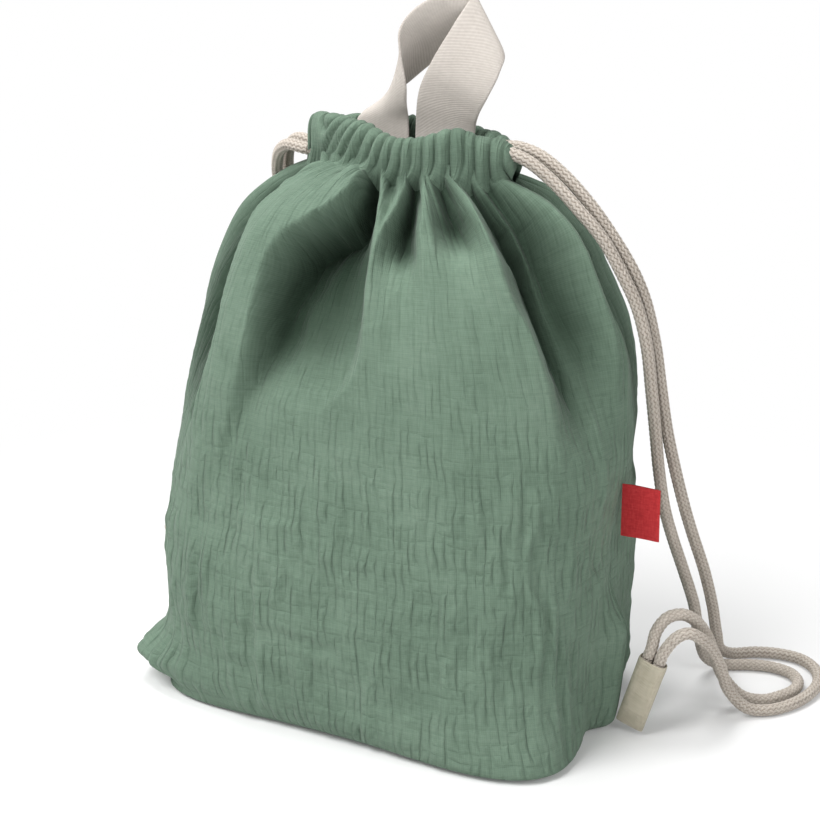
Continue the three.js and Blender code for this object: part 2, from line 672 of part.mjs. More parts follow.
function loopSection(share) {
  const folded = share === 0 || share === 1;
  const middle = loopPath.getPoint(share);
  const tangent = folded ? new THREE.Vector3(0, 0, 1 - 2 * share) : loopPath.getTangent(share);
  const place = share * (loopRows.length - 1);
  const row = Math.min(Math.floor(place), loopRows.length - 2);
  const turn = radians(lerp(loopRows[row][3], loopRows[row + 1][3], place - row));
  const across = new THREE.Vector3(Math.cos(turn), Math.sin(turn), 0);
  across.addScaledVector(tangent, -across.dot(tangent)).normalize();
  const out = new THREE.Vector3().crossVectors(tangent, across);
  const thickness = folded ? foldThickness : webbingThickness;
  return [[1, -1], [1, 1], [-1, 1], [-1, -1]].map(([w, t]) => {
    const corner = middle.clone().addScaledVector(across, (w * webbingWidth) / 2);
    return corner.addScaledVector(out, (t * thickness) / 2);
  });
}
addMesh("carry_loop", loft(spread(0, 1, loopSections).map(loopSection)), webbing);
for (const [name, side] of [["loop_left_end", -1], ["loop_right_end", 1]]) {
  const end = addMesh(name, new THREE.BoxGeometry(webbingWidth, webbingThickness, loopSewnDepth), webbing);
  end.position.set((side * loopLegSpacing) / 2, loopEndDepth, loopFold - clearance - loopSewnDepth / 2);
}

// Label: stands out of the right side seam
const seamLevels = spread(0, neckLevel, 4 * seatSamples);
const seamPoints = seamLevels.map((level) => bodyPoint(0, level));
const besideLabel = seamPoints.filter((p) => p.z > labelFoot && p.z < labelFoot + labelHeight);
const labelSeat = Math.max(...besideLabel.map((p) => p.x));
const label = addMesh("side_label", new THREE.BoxGeometry(labelReach, labelThickness, labelHeight), redWeave);
label.position.set(labelSeat + labelGap + labelReach / 2, 0, labelFoot + labelHeight / 2);

export default group;
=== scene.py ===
"""Drawstring backpack of crinkled cotton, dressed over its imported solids. Metres, +Z up, front towards -Y."""
import math

import bmesh
import bpy
import numpy as np
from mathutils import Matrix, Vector


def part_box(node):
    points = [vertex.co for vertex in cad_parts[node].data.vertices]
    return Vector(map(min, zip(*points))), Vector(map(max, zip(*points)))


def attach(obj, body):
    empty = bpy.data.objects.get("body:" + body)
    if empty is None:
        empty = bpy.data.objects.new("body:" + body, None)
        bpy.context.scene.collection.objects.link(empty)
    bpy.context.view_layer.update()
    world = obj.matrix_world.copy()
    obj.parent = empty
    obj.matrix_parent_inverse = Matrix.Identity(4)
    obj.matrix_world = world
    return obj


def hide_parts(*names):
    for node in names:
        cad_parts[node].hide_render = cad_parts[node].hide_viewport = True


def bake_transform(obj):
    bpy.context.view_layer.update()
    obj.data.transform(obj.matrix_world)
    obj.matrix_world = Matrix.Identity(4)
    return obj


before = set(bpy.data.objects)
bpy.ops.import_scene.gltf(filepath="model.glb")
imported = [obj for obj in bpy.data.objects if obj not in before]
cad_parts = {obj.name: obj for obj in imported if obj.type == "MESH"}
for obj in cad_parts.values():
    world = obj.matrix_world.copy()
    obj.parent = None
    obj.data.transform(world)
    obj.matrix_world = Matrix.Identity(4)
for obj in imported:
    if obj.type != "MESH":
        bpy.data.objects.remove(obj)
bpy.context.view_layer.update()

# Sections of the filled body from the base up: height, half width, half depth and outline power
SECTIONS = np.array([
    (0.0000, 0.098, 0.070, 4.5),
    (0.0025, 0.104, 0.0755, 4.5),
    (0.0100, 0.108, 0.080, 4.2),
    (0.0400, 0.112, 0.081, 3.5),
    (0.1000, 0.117, 0.081, 3.0),
    (0.1800, 0.115, 0.074, 2.6),
    (0.2400, 0.097, 0.056, 2.2),
    (0.2640, 0.080, 0.041, 2.0),
    (0.2775, 0.054, 0.024, 2.0),
])
NECK_LEVEL = len(SECTIONS) - 1
NECK_HEIGHT, NECK_HALF_WIDTH = SECTIONS[NECK_LEVEL, :2]
BELLY_LEVEL = 4
BELLY_HALF_WIDTH, BELLY_HALF_DEPTH = SECTIONS[BELLY_LEVEL, 1:3]

# Seams: gap between the panels, half length at the bottom, and distances from a side seam where folds rise
SEAM_GAP = 0.0003
BOTTOM_SEAM_HALF = 0.093
SEAM_FLAT = (0.0001, 0.003)

# Lower stretch of a pleat that three fold lines share, a little apart
PLEAT_FOOT = [(5.8, -80, 0.008), (5.5, -80, 0.007), (5.3, -81, 0.005), (5.1, -84, 0.003), (4.9, -91, 0.001),
              (4.7, -97, 0)]


def pleat_foot(degrees):
    """The shared stretch, some degrees further left."""
    return [(level, angle - degrees, height) for level, angle, height in PLEAT_FOOT]


# Ridges and valleys of the gathered cloth, in order round the bag, each with its sharpness and painted shade
# Rows give level, angle and height from the neck down: angle 0 is the right seam, -90 the middle of the front
FOLD_LINES = [
    (0.0, 0, [(8, -180, 0), (4, -180, 0)]),
    (0.0, 0.9, [
        (8, -168, 0), (7.5, -167, -0.008), (7, -166, -0.012), (6, -164, -0.012), (5.2, -162, -0.009),
        (4.7, -162, -0.004), (4.3, -163, 0),
    ]),
    (0.0, 1.0, [
        (8, -158, -0.002), (7.4, -155, -0.012), (7, -153, -0.017), (6.2, -150, -0.020), (5.7, -148, -0.020),
        (5.3, -146, -0.017), (4.9, -146, -0.010), (4.5, -149, -0.003), (4.2, -151, 0),
    ]),
    (0.2, 1.0, [
        (8, -152, -0.002), (7.4, -147, -0.007), (7, -144, -0.010), (6.2, -139, -0.013), (5.7, -137, -0.013),
        (5.3, -135, -0.011), (4.9, -136, -0.008), (4.5, -140, -0.003), (4.2, -143, 0),
    ]),
    (0.5, 0, [
        (8, -146, 0.003), (7.6, -143, 0.005), (7.1, -138, 0.007), (6.2, -132.5, 0.010),
        (5.7, -129.5, 0.010), (5.3, -127.5, 0.008), (4.9, -129, 0.005), (4.6, -132, 0.003),
        (4.3, -136, 0.001), (3.8, -139, 0),
    ]),
    (0.0, 0, [
        (8, -124, 0.004), (7.4, -119, 0.009), (6.9, -118, 0.012), (6.4, -121, 0.014), (6, -124, 0.0145),
        (5.6, -123.5, 0.0125), (5.3, -122.5, 0.010), (4.9, -124, 0.007), (4.6, -126, 0.004),
        (4.3, -131, 0.002), (3.8, -136, 0),
    ]),
    (0.5, 0, [
        (8, -106, 0.004), (7.6, -101, 0.009), (7.1, -99, 0.012), (6.8, -102, 0.013), (6.4, -110, 0.0135),
        (6.2, -115, 0.0135), (6, -117.5, 0.013), (5.6, -117.5, 0.011), (5.3, -117, 0.009),
        (5, -118, 0.0065), (4.6, -121, 0.0035), (4.3, -127, 0.0015), (3.8, -133, 0),
    ]),
    (0.2, 1.0, [
        (8, -98, -0.004), (7.6, -95, -0.012), (7.2, -93.5, -0.018), (6.9, -94.5, -0.021),
        (6.6, -98, -0.023), (6.4, -103, -0.024), (6.2, -108, -0.024), (6, -111.5, -0.023),
        (5.8, -113, -0.021), (5.6, -113.5, -0.018), (5.3, -112.5, -0.013), (5.1, -113.5, -0.008),
        (4.8, -116, -0.002), (4.5, -118.5, 0), (4.2, -122, 0),
    ]),
    (0.0, 0.9, [
        (8, -95.5, -0.003), (7.6, -93, -0.012), (7.2, -92, -0.018), (6.9, -92.3, -0.020),
        (6.6, -94, -0.021), (6.4, -96, -0.021), (6, -98.5, -0.018), (5.6, -100, -0.013),
        (5.3, -102, -0.009), (5.1, -104, -0.004), (4.9, -106, 0), (4.5, -109, 0),
    ]),
    (0.4, 0.9, [
        (8, -93, 0), (7.6, -91.5, -0.006), (7.4, -90.5, -0.009), (7, -90, -0.011), (6.5, -89.5, -0.012),
        (5.8, -88, -0.011), (5.5, -87, -0.008), (5.3, -87, -0.005), (5.1, -89, -0.002), (4.9, -95, 0),
        (4.6, -102, 0),
    ]),
    (0.5, 0, [
        (8, -91, 0.0045), (7.4, -84, 0.004), (7, -82, 0.0045), (6.4, -80.7, 0.0065), *pleat_foot(1.2),
    ]),
    (0.2, 0.3, [
        (8, -81, -0.002), (7.6, -79, -0.003), (7.1, -78.7, 0), (6.7, -79.4, 0.004), (6.4, -80, 0.0065),
        *pleat_foot(0.6),
    ]),
    (0.6, 0, [
        (8, -69, 0.0045), (7.4, -72, 0.004), (6.9, -76, 0.005), (6.4, -79.3, 0.0065), *pleat_foot(0),
    ]),
    (0.1, 1.0, [
        (8, -64, -0.003), (7.6, -66, -0.007), (7.2, -69, -0.011), (6.8, -72, -0.013), (6.2, -72.5, -0.009),
        (5.85, -71, 0.002), (5.4, -71, 0.005), (4.9, -72, 0.002), (4.6, -73, 0),
    ]),
    (0.2, 0, [
        (8, -55, 0.0045), (7.4, -59.5, 0.004), (6.6, -63, 0.006), (6, -63, 0.006), (5.5, -62.5, 0.005),
        (5, -62, 0.002), (4.6, -62, 0),
    ]),
    (0.1, 0.9, [
        (8, -48.5, -0.003), (7.6, -48.5, -0.008), (7.2, -49.5, -0.011), (6.8, -50.5, -0.011),
        (6.5, -51, -0.008), (6, -51, 0.003), (5.5, -50, 0.005), (5, -49, 0.002), (4.6, -49, 0),
    ]),
    (0.7, 0, [
        (8, -39.5, 0.0045), (7.4, -40, 0.0045), (6.6, -41, 0.009), (6.1, -40.5, 0.011), (5.8, -40, 0.011),
        (5.6, -37.5, 0.010), (5.3, -35.5, 0.008), (5.1, -34.5, 0.005), (4.9, -34, 0.002), (4.6, -33, 0),
    ]),
    (0.2, 0.7, [
        (8, -31, -0.003), (7.4, -30, -0.015), (6.9, -29, -0.023), (6.3, -28, -0.029), (5.8, -26, -0.027),
        (5.4, -25, -0.021), (5.1, -24, -0.014), (4.9, -23, -0.008), (4.6, -22, -0.002), (4.3, -22, 0),
    ]),
    (0.5, 0.55, [
        (8, -25, 0.001), (7.4, -24.5, -0.007), (6.9, -24, -0.013), (6.3, -23, -0.018), (5.8, -21.5, -0.019),
        (5.4, -20.5, -0.015), (5.1, -20, -0.010), (4.8, -19, -0.005), (4.4, -18.5, -0.001), (4.2, -18.5, 0),
    ]),
    (0.0, 0.75, [
        (8, -21, -0.001), (7.4, -19.5, -0.010), (6.9, -18.5, -0.017), (6.3, -17.5, -0.021),
        (5.8, -16, -0.019), (5.4, -15, -0.013), (5.1, -15, -0.007), (4.8, -15, -0.002), (4.4, -15, 0),
    ]),
    (0.2, 0, [
        (8, -12, 0.003), (7.4, -9, 0.004), (6.6, -8, 0.006), (6, -6, 0.006), (5.6, -5, 0.005),
        (5.2, -4, 0.003), (4.7, -3, 0.001), (4.3, -2, 0),
    ]),
    (0.3, 0.5, [
        (8, 6, -0.001), (7.4, 10, -0.004), (6.9, 10, -0.007), (6.4, 10, -0.009), (5.8, 11, -0.008),
        (5.2, 14, -0.004), (4.8, 15, 0),
    ]),
    (0.0, 0, [(8, 24, 0.001), (7, 24, 0.005), (6, 24, 0.005), (5, 24, 0.001), (4.6, 24, 0)]),
    (0.1, 0.7, [
        (8, 38, -0.001), (7.3, 37, -0.012), (6.6, 36, -0.018), (5.8, 35, -0.014), (5.0, 33, -0.003),
        (4.5, 32, 0),
    ]),
    (0.0, 0, [(8, 52, 0.001), (7, 52, 0.005), (6, 51, 0.006), (5, 50, 0.002), (4.5, 50, 0)]),
    (0.1, 0.7, [
        (8, 66, -0.001), (7.3, 66, -0.014), (6.6, 67, -0.020), (5.8, 68, -0.013), (5.1, 69, -0.003),
        (4.6, 70, 0),
    ]),
    (0.0, 0, [(8, 80, 0.001), (7, 80, 0.005), (6, 81, 0.006), (5, 82, 0.002), (4.5, 82, 0)]),
    (0.1, 0.7, [
        (8, 94, -0.001), (7.3, 94, -0.013), (6.6, 93, -0.020), (5.6, 92, -0.015), (4.9, 91, -0.004),
        (4.4, 90, 0),
    ]),
    (0.0, 0, [(8, 107, 0.001), (7, 107, 0.005), (6, 106, 0.006), (5, 105, 0.002), (4.5, 105, 0)]),
    (0.1, 0.7, [
        (8, 121, -0.001), (7.3, 120, -0.014), (6.6, 119, -0.019), (5.8, 118, -0.012), (5.1, 118, -0.003),
        (4.6, 118, 0),
    ]),
    (0.0, 0, [(8, 134, 0.001), (7, 134, 0.005), (6, 134, 0.006), (5, 134, 0.002), (4.5, 134, 0)]),
    (0.1, 0.7, [
        (8, 149, -0.001), (7.3, 150, -0.011), (6.6, 150, -0.016), (5.8, 151, -0.012), (5.0, 152, -0.003),
        (4.5, 152, 0),
    ]),
    (0.0, 0, [(8, 165, 0.001), (7, 165, 0.004), (6, 166, 0.004), (5, 167, 0.001), (4.5, 167, 0)]),
]

# Valleys: depth at which painted shade is full, and how folds round off between two levels below the neck
DARK_DEPTH = 0.018
DARK_POWER = 1.6
NECK_ROUNDING = (6.6, 7.5)
NECK_DARK_EASE = 0.7
NECK_VALLEY_SHARPNESS = 0.5

# Rounded swellings: level, angle, half height in levels, half width in degrees, height
SWELLS = [
    (3.4, -140, 0.9, 40, 0.009),
    (2.3, -149, 0.45, 17, 0.024),
    (1.0, -41, 1.6, 25, 0.016),
    (3.95, 0, 0.5, 30, -0.003),
    (4.55, -20, 0.25, 28, 0.004),
    (5.3, 8, 0.35, 18, 0.005),
    (4.5, 28, 0.25, 13, -0.004),
    (0.5, -145, 1.4, 21, 0.017),
    (5.6, -165, 1.1, 28, 0.009),
]

# Slack fin of cloth at each lower side seam: reach, half width in degrees, and levels
FIN_REACH = 0.011
FIN_WIDTH = 7
FIN_FOOT = 1
FIN_TOP = 3.25
FIN_FADE = 0.5

# Panels: steps each way, samples along them, and gap to the floor
PANEL_STEPS = 310
LENGTH_SAMPLES = 1200
FLOOR_GAP = 0.0002

# Gathers at the top of the panels: levels where they start and are full, and the tuck into the casing
GATHERS = (6.8, 7.9)
GATHER_POWER = 1.5
GATHER_HEIGHT = 0.0038
# Painted shade between the gathers
GATHER_PAINTED_SHADE = 0.7
GATHER_CALM = 0.5
TUCK_SHARE = (0.985, 0.96, 1)
TUCK_HEIGHT = 0.0045
TUCK_CLOTH = 0.004

# Puckers on the flat cloth: lattice of the noise, then width, length and seed of each
NOISE_CELLS = 256
WANDER_ACROSS = (0.02, 0.03, 21)
WANDER_ALONG = (0.03, 0.02, 22)
PUCKERS_UP = (0.0050, 0.026, 23)
PUCKERS_ACROSS = (0.028, 0.0075, 24)
PATCHES_UP = (0.035, 0.05, 25)
PATCHES_ACROSS = (0.05, 0.04, 26)
PUCKERS_FINE = (0.0035, 0.0045, 27)

# Puckers: wander, heights, stretches where they are calm, and where the back panel starts on the cloth
WANDER = 0.004
UP_HEIGHT = 0.0017
ACROSS_HEIGHT = 0.0008
FINE_HEIGHT = 0.0004
PATCH_RANGE_UP = (-0.9, 0.2)
PATCH_RANGE_ACROSS = (-0.6, 0.6)
PUCKER_FADE = (0.18, 0.27)
PUCKER_FADE_SHARE = 0.55
PUCKER_START = (0.001, 0.012)
SEAM_PUCKERS = 0.15
SEAM_CALM = {-1: 0.022, 1: 0.038}
BACK_CLOTH = 0.5

# Lining: steps each way, cut size, tuck above the neck, reach to folds in steps, and inset at each level
LINING_STEPS = 150
LINING_CUT = (0.33, 0.36)
LINING_TUCK = 0.004
LINING_REACH = 2
LINING_INSET = (0.0018, 0.0018, 0.002, 0.003, 0.0035, 0.004, 0.0045, 0.005, 0.006)

# Gathered casing
CASING_FOOT = 0.2778
CASING_HEIGHT = 0.0222
CASING_HALF_WIDTH = 0.052
CASING_HALF_THICKNESS = 0.0055
CASING_END_OFFSET = 0.0058
CASING_BOW = 0.0155
CASING_BOW_POWER = 3
CASING_CAP = 0.0045
CASING_SHIFT = 0.004
CASING_ROWS = 361
CASING_CAP_ROWS = 18
CASING_SIDES = 56
CASING_TIP = 0.03
CASING_TIP_OFFSET = 0.25
CASING_FOOT_SHARE = 0.7
CASING_FOOT_BAND = (-1.0, -0.3)
CASING_RIM = (-0.6, 1)
CASING_ROUNDNESS = 0.8
CASING_CLOTH_FOOT = 0.3
CASING_CLOTH_TURN = 0.0125
CASING_FULLNESS = 2.4

# Ruffles of the casings, and the level where they run into the panels
FULL_RUFFLE = 0.0085
RUFFLE_ROUNDNESS = 0.7
RUFFLE_EVENNESS = (0.85, 0.25, 2.3)
RUFFLE_SWELL = 0.0040
RUFFLE_SINK = 0.0012
RUFFLE_SLANT = 0.009
SLANT_STARTS = (-0.012, 0.030)
SLANT_ENDS = (0.038, 0.050)
RUFFLE_RISE = 0.35
RUFFLE_FOOT = (0.2, 0.9)
RUFFLE_FACE = (-0.3, 0.3)
# Painted shade in the creases between ruffles, and its power
RUFFLE_PAINTED_SHADE = 0.5
RUFFLE_DARK_POWER = 2.5
RUFFLE_FOOT_INSET = 0.0006
CASING_MEETS = 7.72

# Cords: heights in the casings, rings, braid, bends of a run, and how their ends follow the tabs
CORD_DIAMETER = 0.006
CORD_LEAD = 0.0016
UPPER_CORD = 0.2915
LOWER_CORD = 0.2835
CORD_SIDES = 40
CORD_RING_STEP = 0.0006
FEWEST_RINGS = 8
SPLINE_STEPS = 24
CORD_END_OFFSET = CORD_DIAMETER / 2 + SEAM_GAP / 2
BRAID_STRANDS = 8
BRAID_PITCH = 0.0030
BRAID_DEPTH = 0.0007
BRAID_MIDDLE = 0.8
# Power of the painted shade in the grooves between strands
BRAID_DARK_POWER = 1.5
RUN_BENDS = np.radians(np.linspace(22.5, 135, 11))
TURN_SETBACK = 0.0105
TAB_LEAD = 0.006

# Tabs
TAB_WIDTH = 0.015
TAB_THICKNESS = 0.0086
TAB_LENGTH = 0.040
TAB_LEAN = math.radians(17)
TAB_SIDES = 64
TAB_ROWS = 90
TAB_SQUARENESS = (0.62, 0.75)
TAB_CLOTH_RADIUS = 0.006
CORD_END_DEPTHS = (0, 0.017, 0.032)

# Carry loop
WEBBING_WIDTH = 0.032
WEBBING_THICKNESS = 0.002
LOOP_SEWN_DEPTH = 0.020
LOOP_STEPS = 260
LOOP_ACROSS = 41
SELVEDGE_THINNING = 0.55
SELVEDGE_POWER = 10

# Label
LABEL_STEPS = (121, 61)
LABEL_HALF_THICKNESS = 0.0005
LABEL_FOLD_SHARPNESS = 14
LABEL_PINCH = 0.35
LABEL_PINCHED = 0.3
LABEL_WAVE = 0.0007
LABEL_WAVE_TURNS = (3.1, 1.3)


def smooth(x, low, high):
    """0 below low, 1 above high and a smooth step between."""
    t = np.clip((np.asarray(x, float) - low) / (high - low), 0, 1)
    return t * t * (3 - 2 * t)


def through(xs, ys, x):
    """A smooth curve through rising xs, read at x."""
    xs, ys = np.asarray(xs, float), np.asarray(ys, float)
    slope = np.gradient(ys, xs)
    x = np.clip(x, xs[0], xs[-1])
    i = np.clip(np.searchsorted(xs, x, side="right") - 1, 0, len(xs) - 2)
    step = xs[i + 1] - xs[i]
    t = (x - xs[i]) / step
    rise = ys[i + 1] - ys[i]
    return ys[i] + t * (slope[i] * step + t * (3 * rise - step * (2 * slope[i] + slope[i + 1])
                                               + t * (step * (slope[i] + slope[i + 1]) - 2 * rise)))


def noise(u, v, width, length, seed):
    """Smooth seeded noise from -1 to 1, with lattice steps of a width and a length."""
    u, v = u / width, v / length
    table = np.random.default_rng(seed).random((NOISE_CELLS, NOISE_CELLS)) * 2 - 1
    i, j = np.floor(u).astype(int), np.floor(v).astype(int)
    s, t = u - i, v - j
    left, right, low, high = (k % NOISE_CELLS for k in (i, i + 1, j, j + 1))
    s, t = s * s * s * (s * (6 * s - 15) + 10), t * t * t * (t * (6 * t - 15) + 10)
    a, b, c, d = table[left, low], table[right, low], table[left, high], table[right, high]
    return (a * (1 - s) + b * s) * (1 - t) + (c * (1 - s) + d * s) * t


def rounded(wave, power):
    """A sine or cosine drawn towards a square one."""
    return np.sign(wave) * np.abs(wave) ** power


def turn_between(a, b):
    """Degrees from b to a, the short way round."""
    return (a - b + 180) % 360 - 180


def section(level):
    """Height, half width, half depth and outline power at each level."""
    level = np.asarray(level, float)
    i = np.clip(np.floor(level).astype(int), 0, NECK_LEVEL - 1)
    t = (level - i)[..., None]
    a, b, c, d = (SECTIONS[np.clip(i + k, 0, NECK_LEVEL)] for k in (-1, 0, 1, 2))
    return b + 0.5 * t * (c - a + t * (2 * a - 5 * b + 4 * c - d + t * (3 * (b - c) + d - a)))


def fold_relief(angle, level):
    """Height and painted shade of the folds at each level and angle, eased from each fold line to the next."""
    lines = FOLD_LINES[-1:] + FOLD_LINES + FOLD_LINES[:1]
    turns = [-360] + [0] * len(FOLD_LINES) + [360]
    near_neck = smooth(level, *NECK_ROUNDING)
    dark_depth = DARK_DEPTH * (1 - NECK_DARK_EASE * near_neck)
    at, high, shade, sharp = [], [], [], []
    for (crisp, dark, rows), turn in zip(lines, turns):
        rows = np.array(rows[::-1], float)
        at.append(through(rows[:, 0], rows[:, 1], level) + turn)
        high.append(through(rows[:, 0], rows[:, 2], level))
        shade.append(dark * smooth(-high[-1] / dark_depth, 0, 1))
        sharp.append(crisp + (NECK_VALLEY_SHARPNESS * (high[-1] < 0) - crisp) * near_neck)
    at, high, shade, sharp = np.array(at), np.array(high), np.array(shade), np.array(sharp)
    out = np.zeros((len(level), len(angle)))
    painted_shade = np.zeros_like(out)
    for k in range(len(level)):
        i = np.clip(np.searchsorted(at[:, k], angle, side="right") - 1, 0, len(at) - 2)
        t = (angle - at[i, k]) / (at[i + 1, k] - at[i, k])
        a, b = sharp[i, k], sharp[i + 1, k]
        ease = ((1 - a) * (1 - b) * t * t * (3 - 2 * t) + a * (1 - b) * np.sin(np.pi / 2 * t)
                + (1 - a) * b * (1 - np.cos(np.pi / 2 * t)) + a * b * t)
        out[k] = high[i, k] + (high[i + 1, k] - high[i, k]) * ease
        painted_shade[k] = shade[i, k] + (shade[i + 1, k] - shade[i, k]) * ease
    return out, 1 - (1 - painted_shade) ** DARK_POWER


def body_relief(angle, level):
    """How far swellings and seam fins stand out at each level and angle."""
    out = np.zeros((len(level), len(angle)))
    for at_level, at_angle, half_level, half_angle, height in SWELLS:
        along = np.exp(-((level - at_level) / half_level) ** 2)[:, None]
        out += height * along * np.exp(-(turn_between(angle, at_angle) / half_angle) ** 2)
    along = smooth(level, 0, FIN_FOOT) * (1 - smooth(level, FIN_TOP, FIN_TOP + FIN_FADE))
    for seam in (0, 180):
        out += FIN_REACH * along[:, None] * np.exp(-(turn_between(angle, seam) / FIN_WIDTH) ** 2)
    return out


def body_grid(side, angle, level):
    """Points of the body without its folds, in rows of one level. Level -1 is the bottom seam."""
    wall = np.maximum(level, 0)
    height, half_width, half_depth, power = (section(wall)[:, k:k + 1] for k in range(4))
    t = np.radians(angle)
    direction = np.arctan2(BELLY_HALF_DEPTH * np.sin(t), BELLY_HALF_WIDTH * np.cos(t))[None, :]
    radius = (np.abs(np.cos(direction) / half_width) ** power
              + np.abs(np.sin(direction) / half_depth) ** power) ** (-1 / power)
    r = radius + body_relief(angle, wall)
    x = r * np.cos(direction)
    y = side * np.maximum(np.abs(r * np.sin(direction)), SEAM_GAP / 2)
    points = np.stack([x, y, height + 0 * x], axis=-1)
    base = np.clip(level + 1, 0, 1)[:, None, None]
    seam = np.zeros_like(points)
    seam[..., 0] = BOTTOM_SEAM_HALF * (1 - np.abs(angle) / 90)
    seam[..., 1] = side * SEAM_GAP / 2
    seam[..., 2] = points[..., 2]
    return seam + (points - seam) * base


def grid_normals(points):
    """Unit normals of a grid of points."""
    along, up = np.gradient(points, axis=1), np.gradient(points, axis=0)
    n = np.cross(along, up)
    return n / np.maximum(np.linalg.norm(n, axis=-1, keepdims=True), 1e-12)


def off_seam(points):
    """0 on a side seam and 1 beside it."""
    return smooth(np.abs(points[..., 1]), *SEAM_FLAT)


def panel_angles(side, steps):
    """Angles of the front half or the back half of the bag."""
    return np.linspace(-180, 0, steps + 1) if side < 0 else np.linspace(0, 180, steps + 1)


def folded_grid(side, angle, level):
    """Points of the folded body, and the painted shade at each."""
    points = body_grid(side, angle, level)
    folds, painted_shade = fold_relief(angle, level)
    folds *= off_seam(points)
    return points + grid_normals(points) * folds[..., None], painted_shade


def arc_lengths(points):
    """Distance of each point along a line."""
    steps = np.linalg.norm(np.diff(points, axis=0), axis=1)
    return np.concatenate([[0], np.cumsum(steps)])


# Meshes
def grid_object(name, points, cloth=None, ring=False, flip=False):
    """A mesh through rows of points, each row closed into a ring if asked."""
    rows, columns = points.shape[:2]
    index = np.arange(rows * columns).reshape(rows, columns)
    right = np.roll(index, -1, axis=1) if ring else index[:, 1:]
    left = index if ring else index[:, :-1]
    quads = np.stack([left[:-1], right[:-1], right[1:], left[1:]], axis=-1).reshape(-1, 4)
    if flip:
        quads = quads[:, ::-1]
    mesh = bpy.data.meshes.new(name)
    mesh.from_pydata(points.reshape(-1, 3).tolist(), [], quads.tolist())
    if cloth is not None:
        uv = np.stack(np.broadcast_arrays(*cloth), axis=-1)
        layer = mesh.uv_layers.new(name="cloth")
        corner = np.empty(len(mesh.loops), np.int32)
        mesh.loops.foreach_get("vertex_index", corner)
        layer.data.foreach_set("uv", uv.reshape(-1, 2)[corner].astype(np.float32).ravel())
    mesh.polygons.foreach_set("use_smooth", [True] * len(mesh.polygons))
    mesh.update()
    obj = bpy.data.objects.new(name, mesh)
    bpy.context.scene.collection.objects.link(obj)
    return obj


def close_ends(obj, rows, columns):
    """Caps the first and last ring of a tube."""
    mesh = obj.data
    work = bmesh.new()
    work.from_mesh(mesh)
    work.verts.ensure_lookup_table()
    work.faces.new([work.verts[k] for k in range(columns)][::-1])
    work.faces.new([work.verts[(rows - 1) * columns + k] for k in range(columns)])
    work.to_mesh(mesh)
    work.free()
    mesh.update()


def dress(obj, material, slot_name, *nodes):
    """Gives a piece its material and hides the solids that it stands for; the slot name is not used."""
    obj.data.materials.append(material)
    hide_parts(*nodes)
    return obj


def bend_by(obj):
    """Bakes a piece's placement into its mesh."""
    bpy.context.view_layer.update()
    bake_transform(obj)


def keep_painted_shade(obj, painted_shade):
    """Keeps painted shade at each point, from 0 on the face of the cloth to 1 deep in a fold, for the material
    to darken the colour by.
    """
    attribute = obj.data.attributes.new("painted_shade", "FLOAT", "POINT")
    attribute.data.foreach_set("value", np.asarray(painted_shade, np.float32).ravel())


# Materials: surface of all cloth, then threads, slubs and creases by their share in tone and height
CLOTH_SURFACE = {"Roughness": 0.92, "Specular IOR Level": 0.15, "Sheen Weight": 0.08, "Sheen Roughness": 0.4}
ONE_BAND = math.pi / 10
THREAD_WANDER = 0.8
SLUB_WIDTH = 1.3
SLUB_TONE = 1.6
SLUB_HEIGHT = 1.2
TONE_DETAIL = 3.0
WEAVE_TONE = 0.3
SLOW_PATCHES = 25
SLOW_TONE = 0.5
CREASES_UP = (0.0045, 0.030)
CREASES_ACROSS = (0.0060, 0.026)
CREASE_ACROSS_SHARE = 0.5
CREASE_ROUNDNESS = 0.75
CREASE_SPREAD = 3
CREASE_PATCH_SCALE = 2.0
CREASE_PATCHES = (0.34, 0.6, 0.15, 1)
CREASE_FADE = (0.20, 0.29, 1, 0.4)
# Painted shade: how much the creases darken the colour
CREASE_PAINTED_SHADE = 0.14
TONE_RANGE = (0.1, 0.9)
BUMP_STRENGTH = 0.9


def new_material(name):
    """An empty material and its node tree."""
    material = bpy.data.materials.new(name)
    material.use_nodes = True
    return material, material.node_tree


def set_inputs(tree, node, values):
    """Links sockets to a node's inputs and gives the other inputs plain values."""
    for key, value in values.items():
        if isinstance(value, bpy.types.NodeSocket):
            tree.links.new(value, node.inputs[key])
        else:
            node.inputs[key].default_value = value
    return node


def add_node(tree, kind, values):
    """A new shader node with its inputs set."""
    return set_inputs(tree, tree.nodes.new("ShaderNode" + kind), values)


def math_node(tree, operation, *values):
    """Result of a sum on sockets or numbers."""
    node = add_node(tree, "Math", dict(enumerate(values)))
    node.operation = operation
    return node.outputs[0]


def linear(red, green, blue):
    """A display colour from 0 to 255 as linear light."""
    return tuple(((c / 255 + 0.055) / 1.055) ** 2.4 for c in (red, green, blue)) + (1.0,)


def mapped(tree, scale, rotation=0.0):
    """Places on the flat cloth, scaled and turned."""
    uv = tree.nodes.new("ShaderNodeUVMap")
    uv.uv_map = "cloth"
    settings = {"Vector": uv.outputs[0], "Scale": (*scale, 1), "Rotation": (0, 0, rotation)}
    return add_node(tree, "Mapping", settings).outputs[0]


def cloth_place(tree, scale):
    """Both places on the flat cloth as separate outputs."""
    return add_node(tree, "SeparateXYZ", {0: mapped(tree, (scale, scale))}).outputs


def noise_node(tree, vector, scale=1.0, detail=2.0):
    """Noise from 0 to 1 at a place."""
    return add_node(tree, "TexNoise", {"Vector": vector, "Scale": scale, "Detail": detail}).outputs["Fac"]


def thread_wave(tree, vector, axis):
    """Wandering threads, one to a unit."""
    settings = {"Scale": ONE_BAND, "Distortion": THREAD_WANDER, "Detail": 1.0, "Detail Scale": 0.6}
    node = add_node(tree, "TexWave", {"Vector": vector, **settings})
    node.bands_direction = axis
    return node.outputs["Fac"]


def about(tree, value, centre, gain):
    """A value's distance from its centre, times a gain."""
    return math_node(tree, "MULTIPLY", math_node(tree, "SUBTRACT", value, centre), gain)


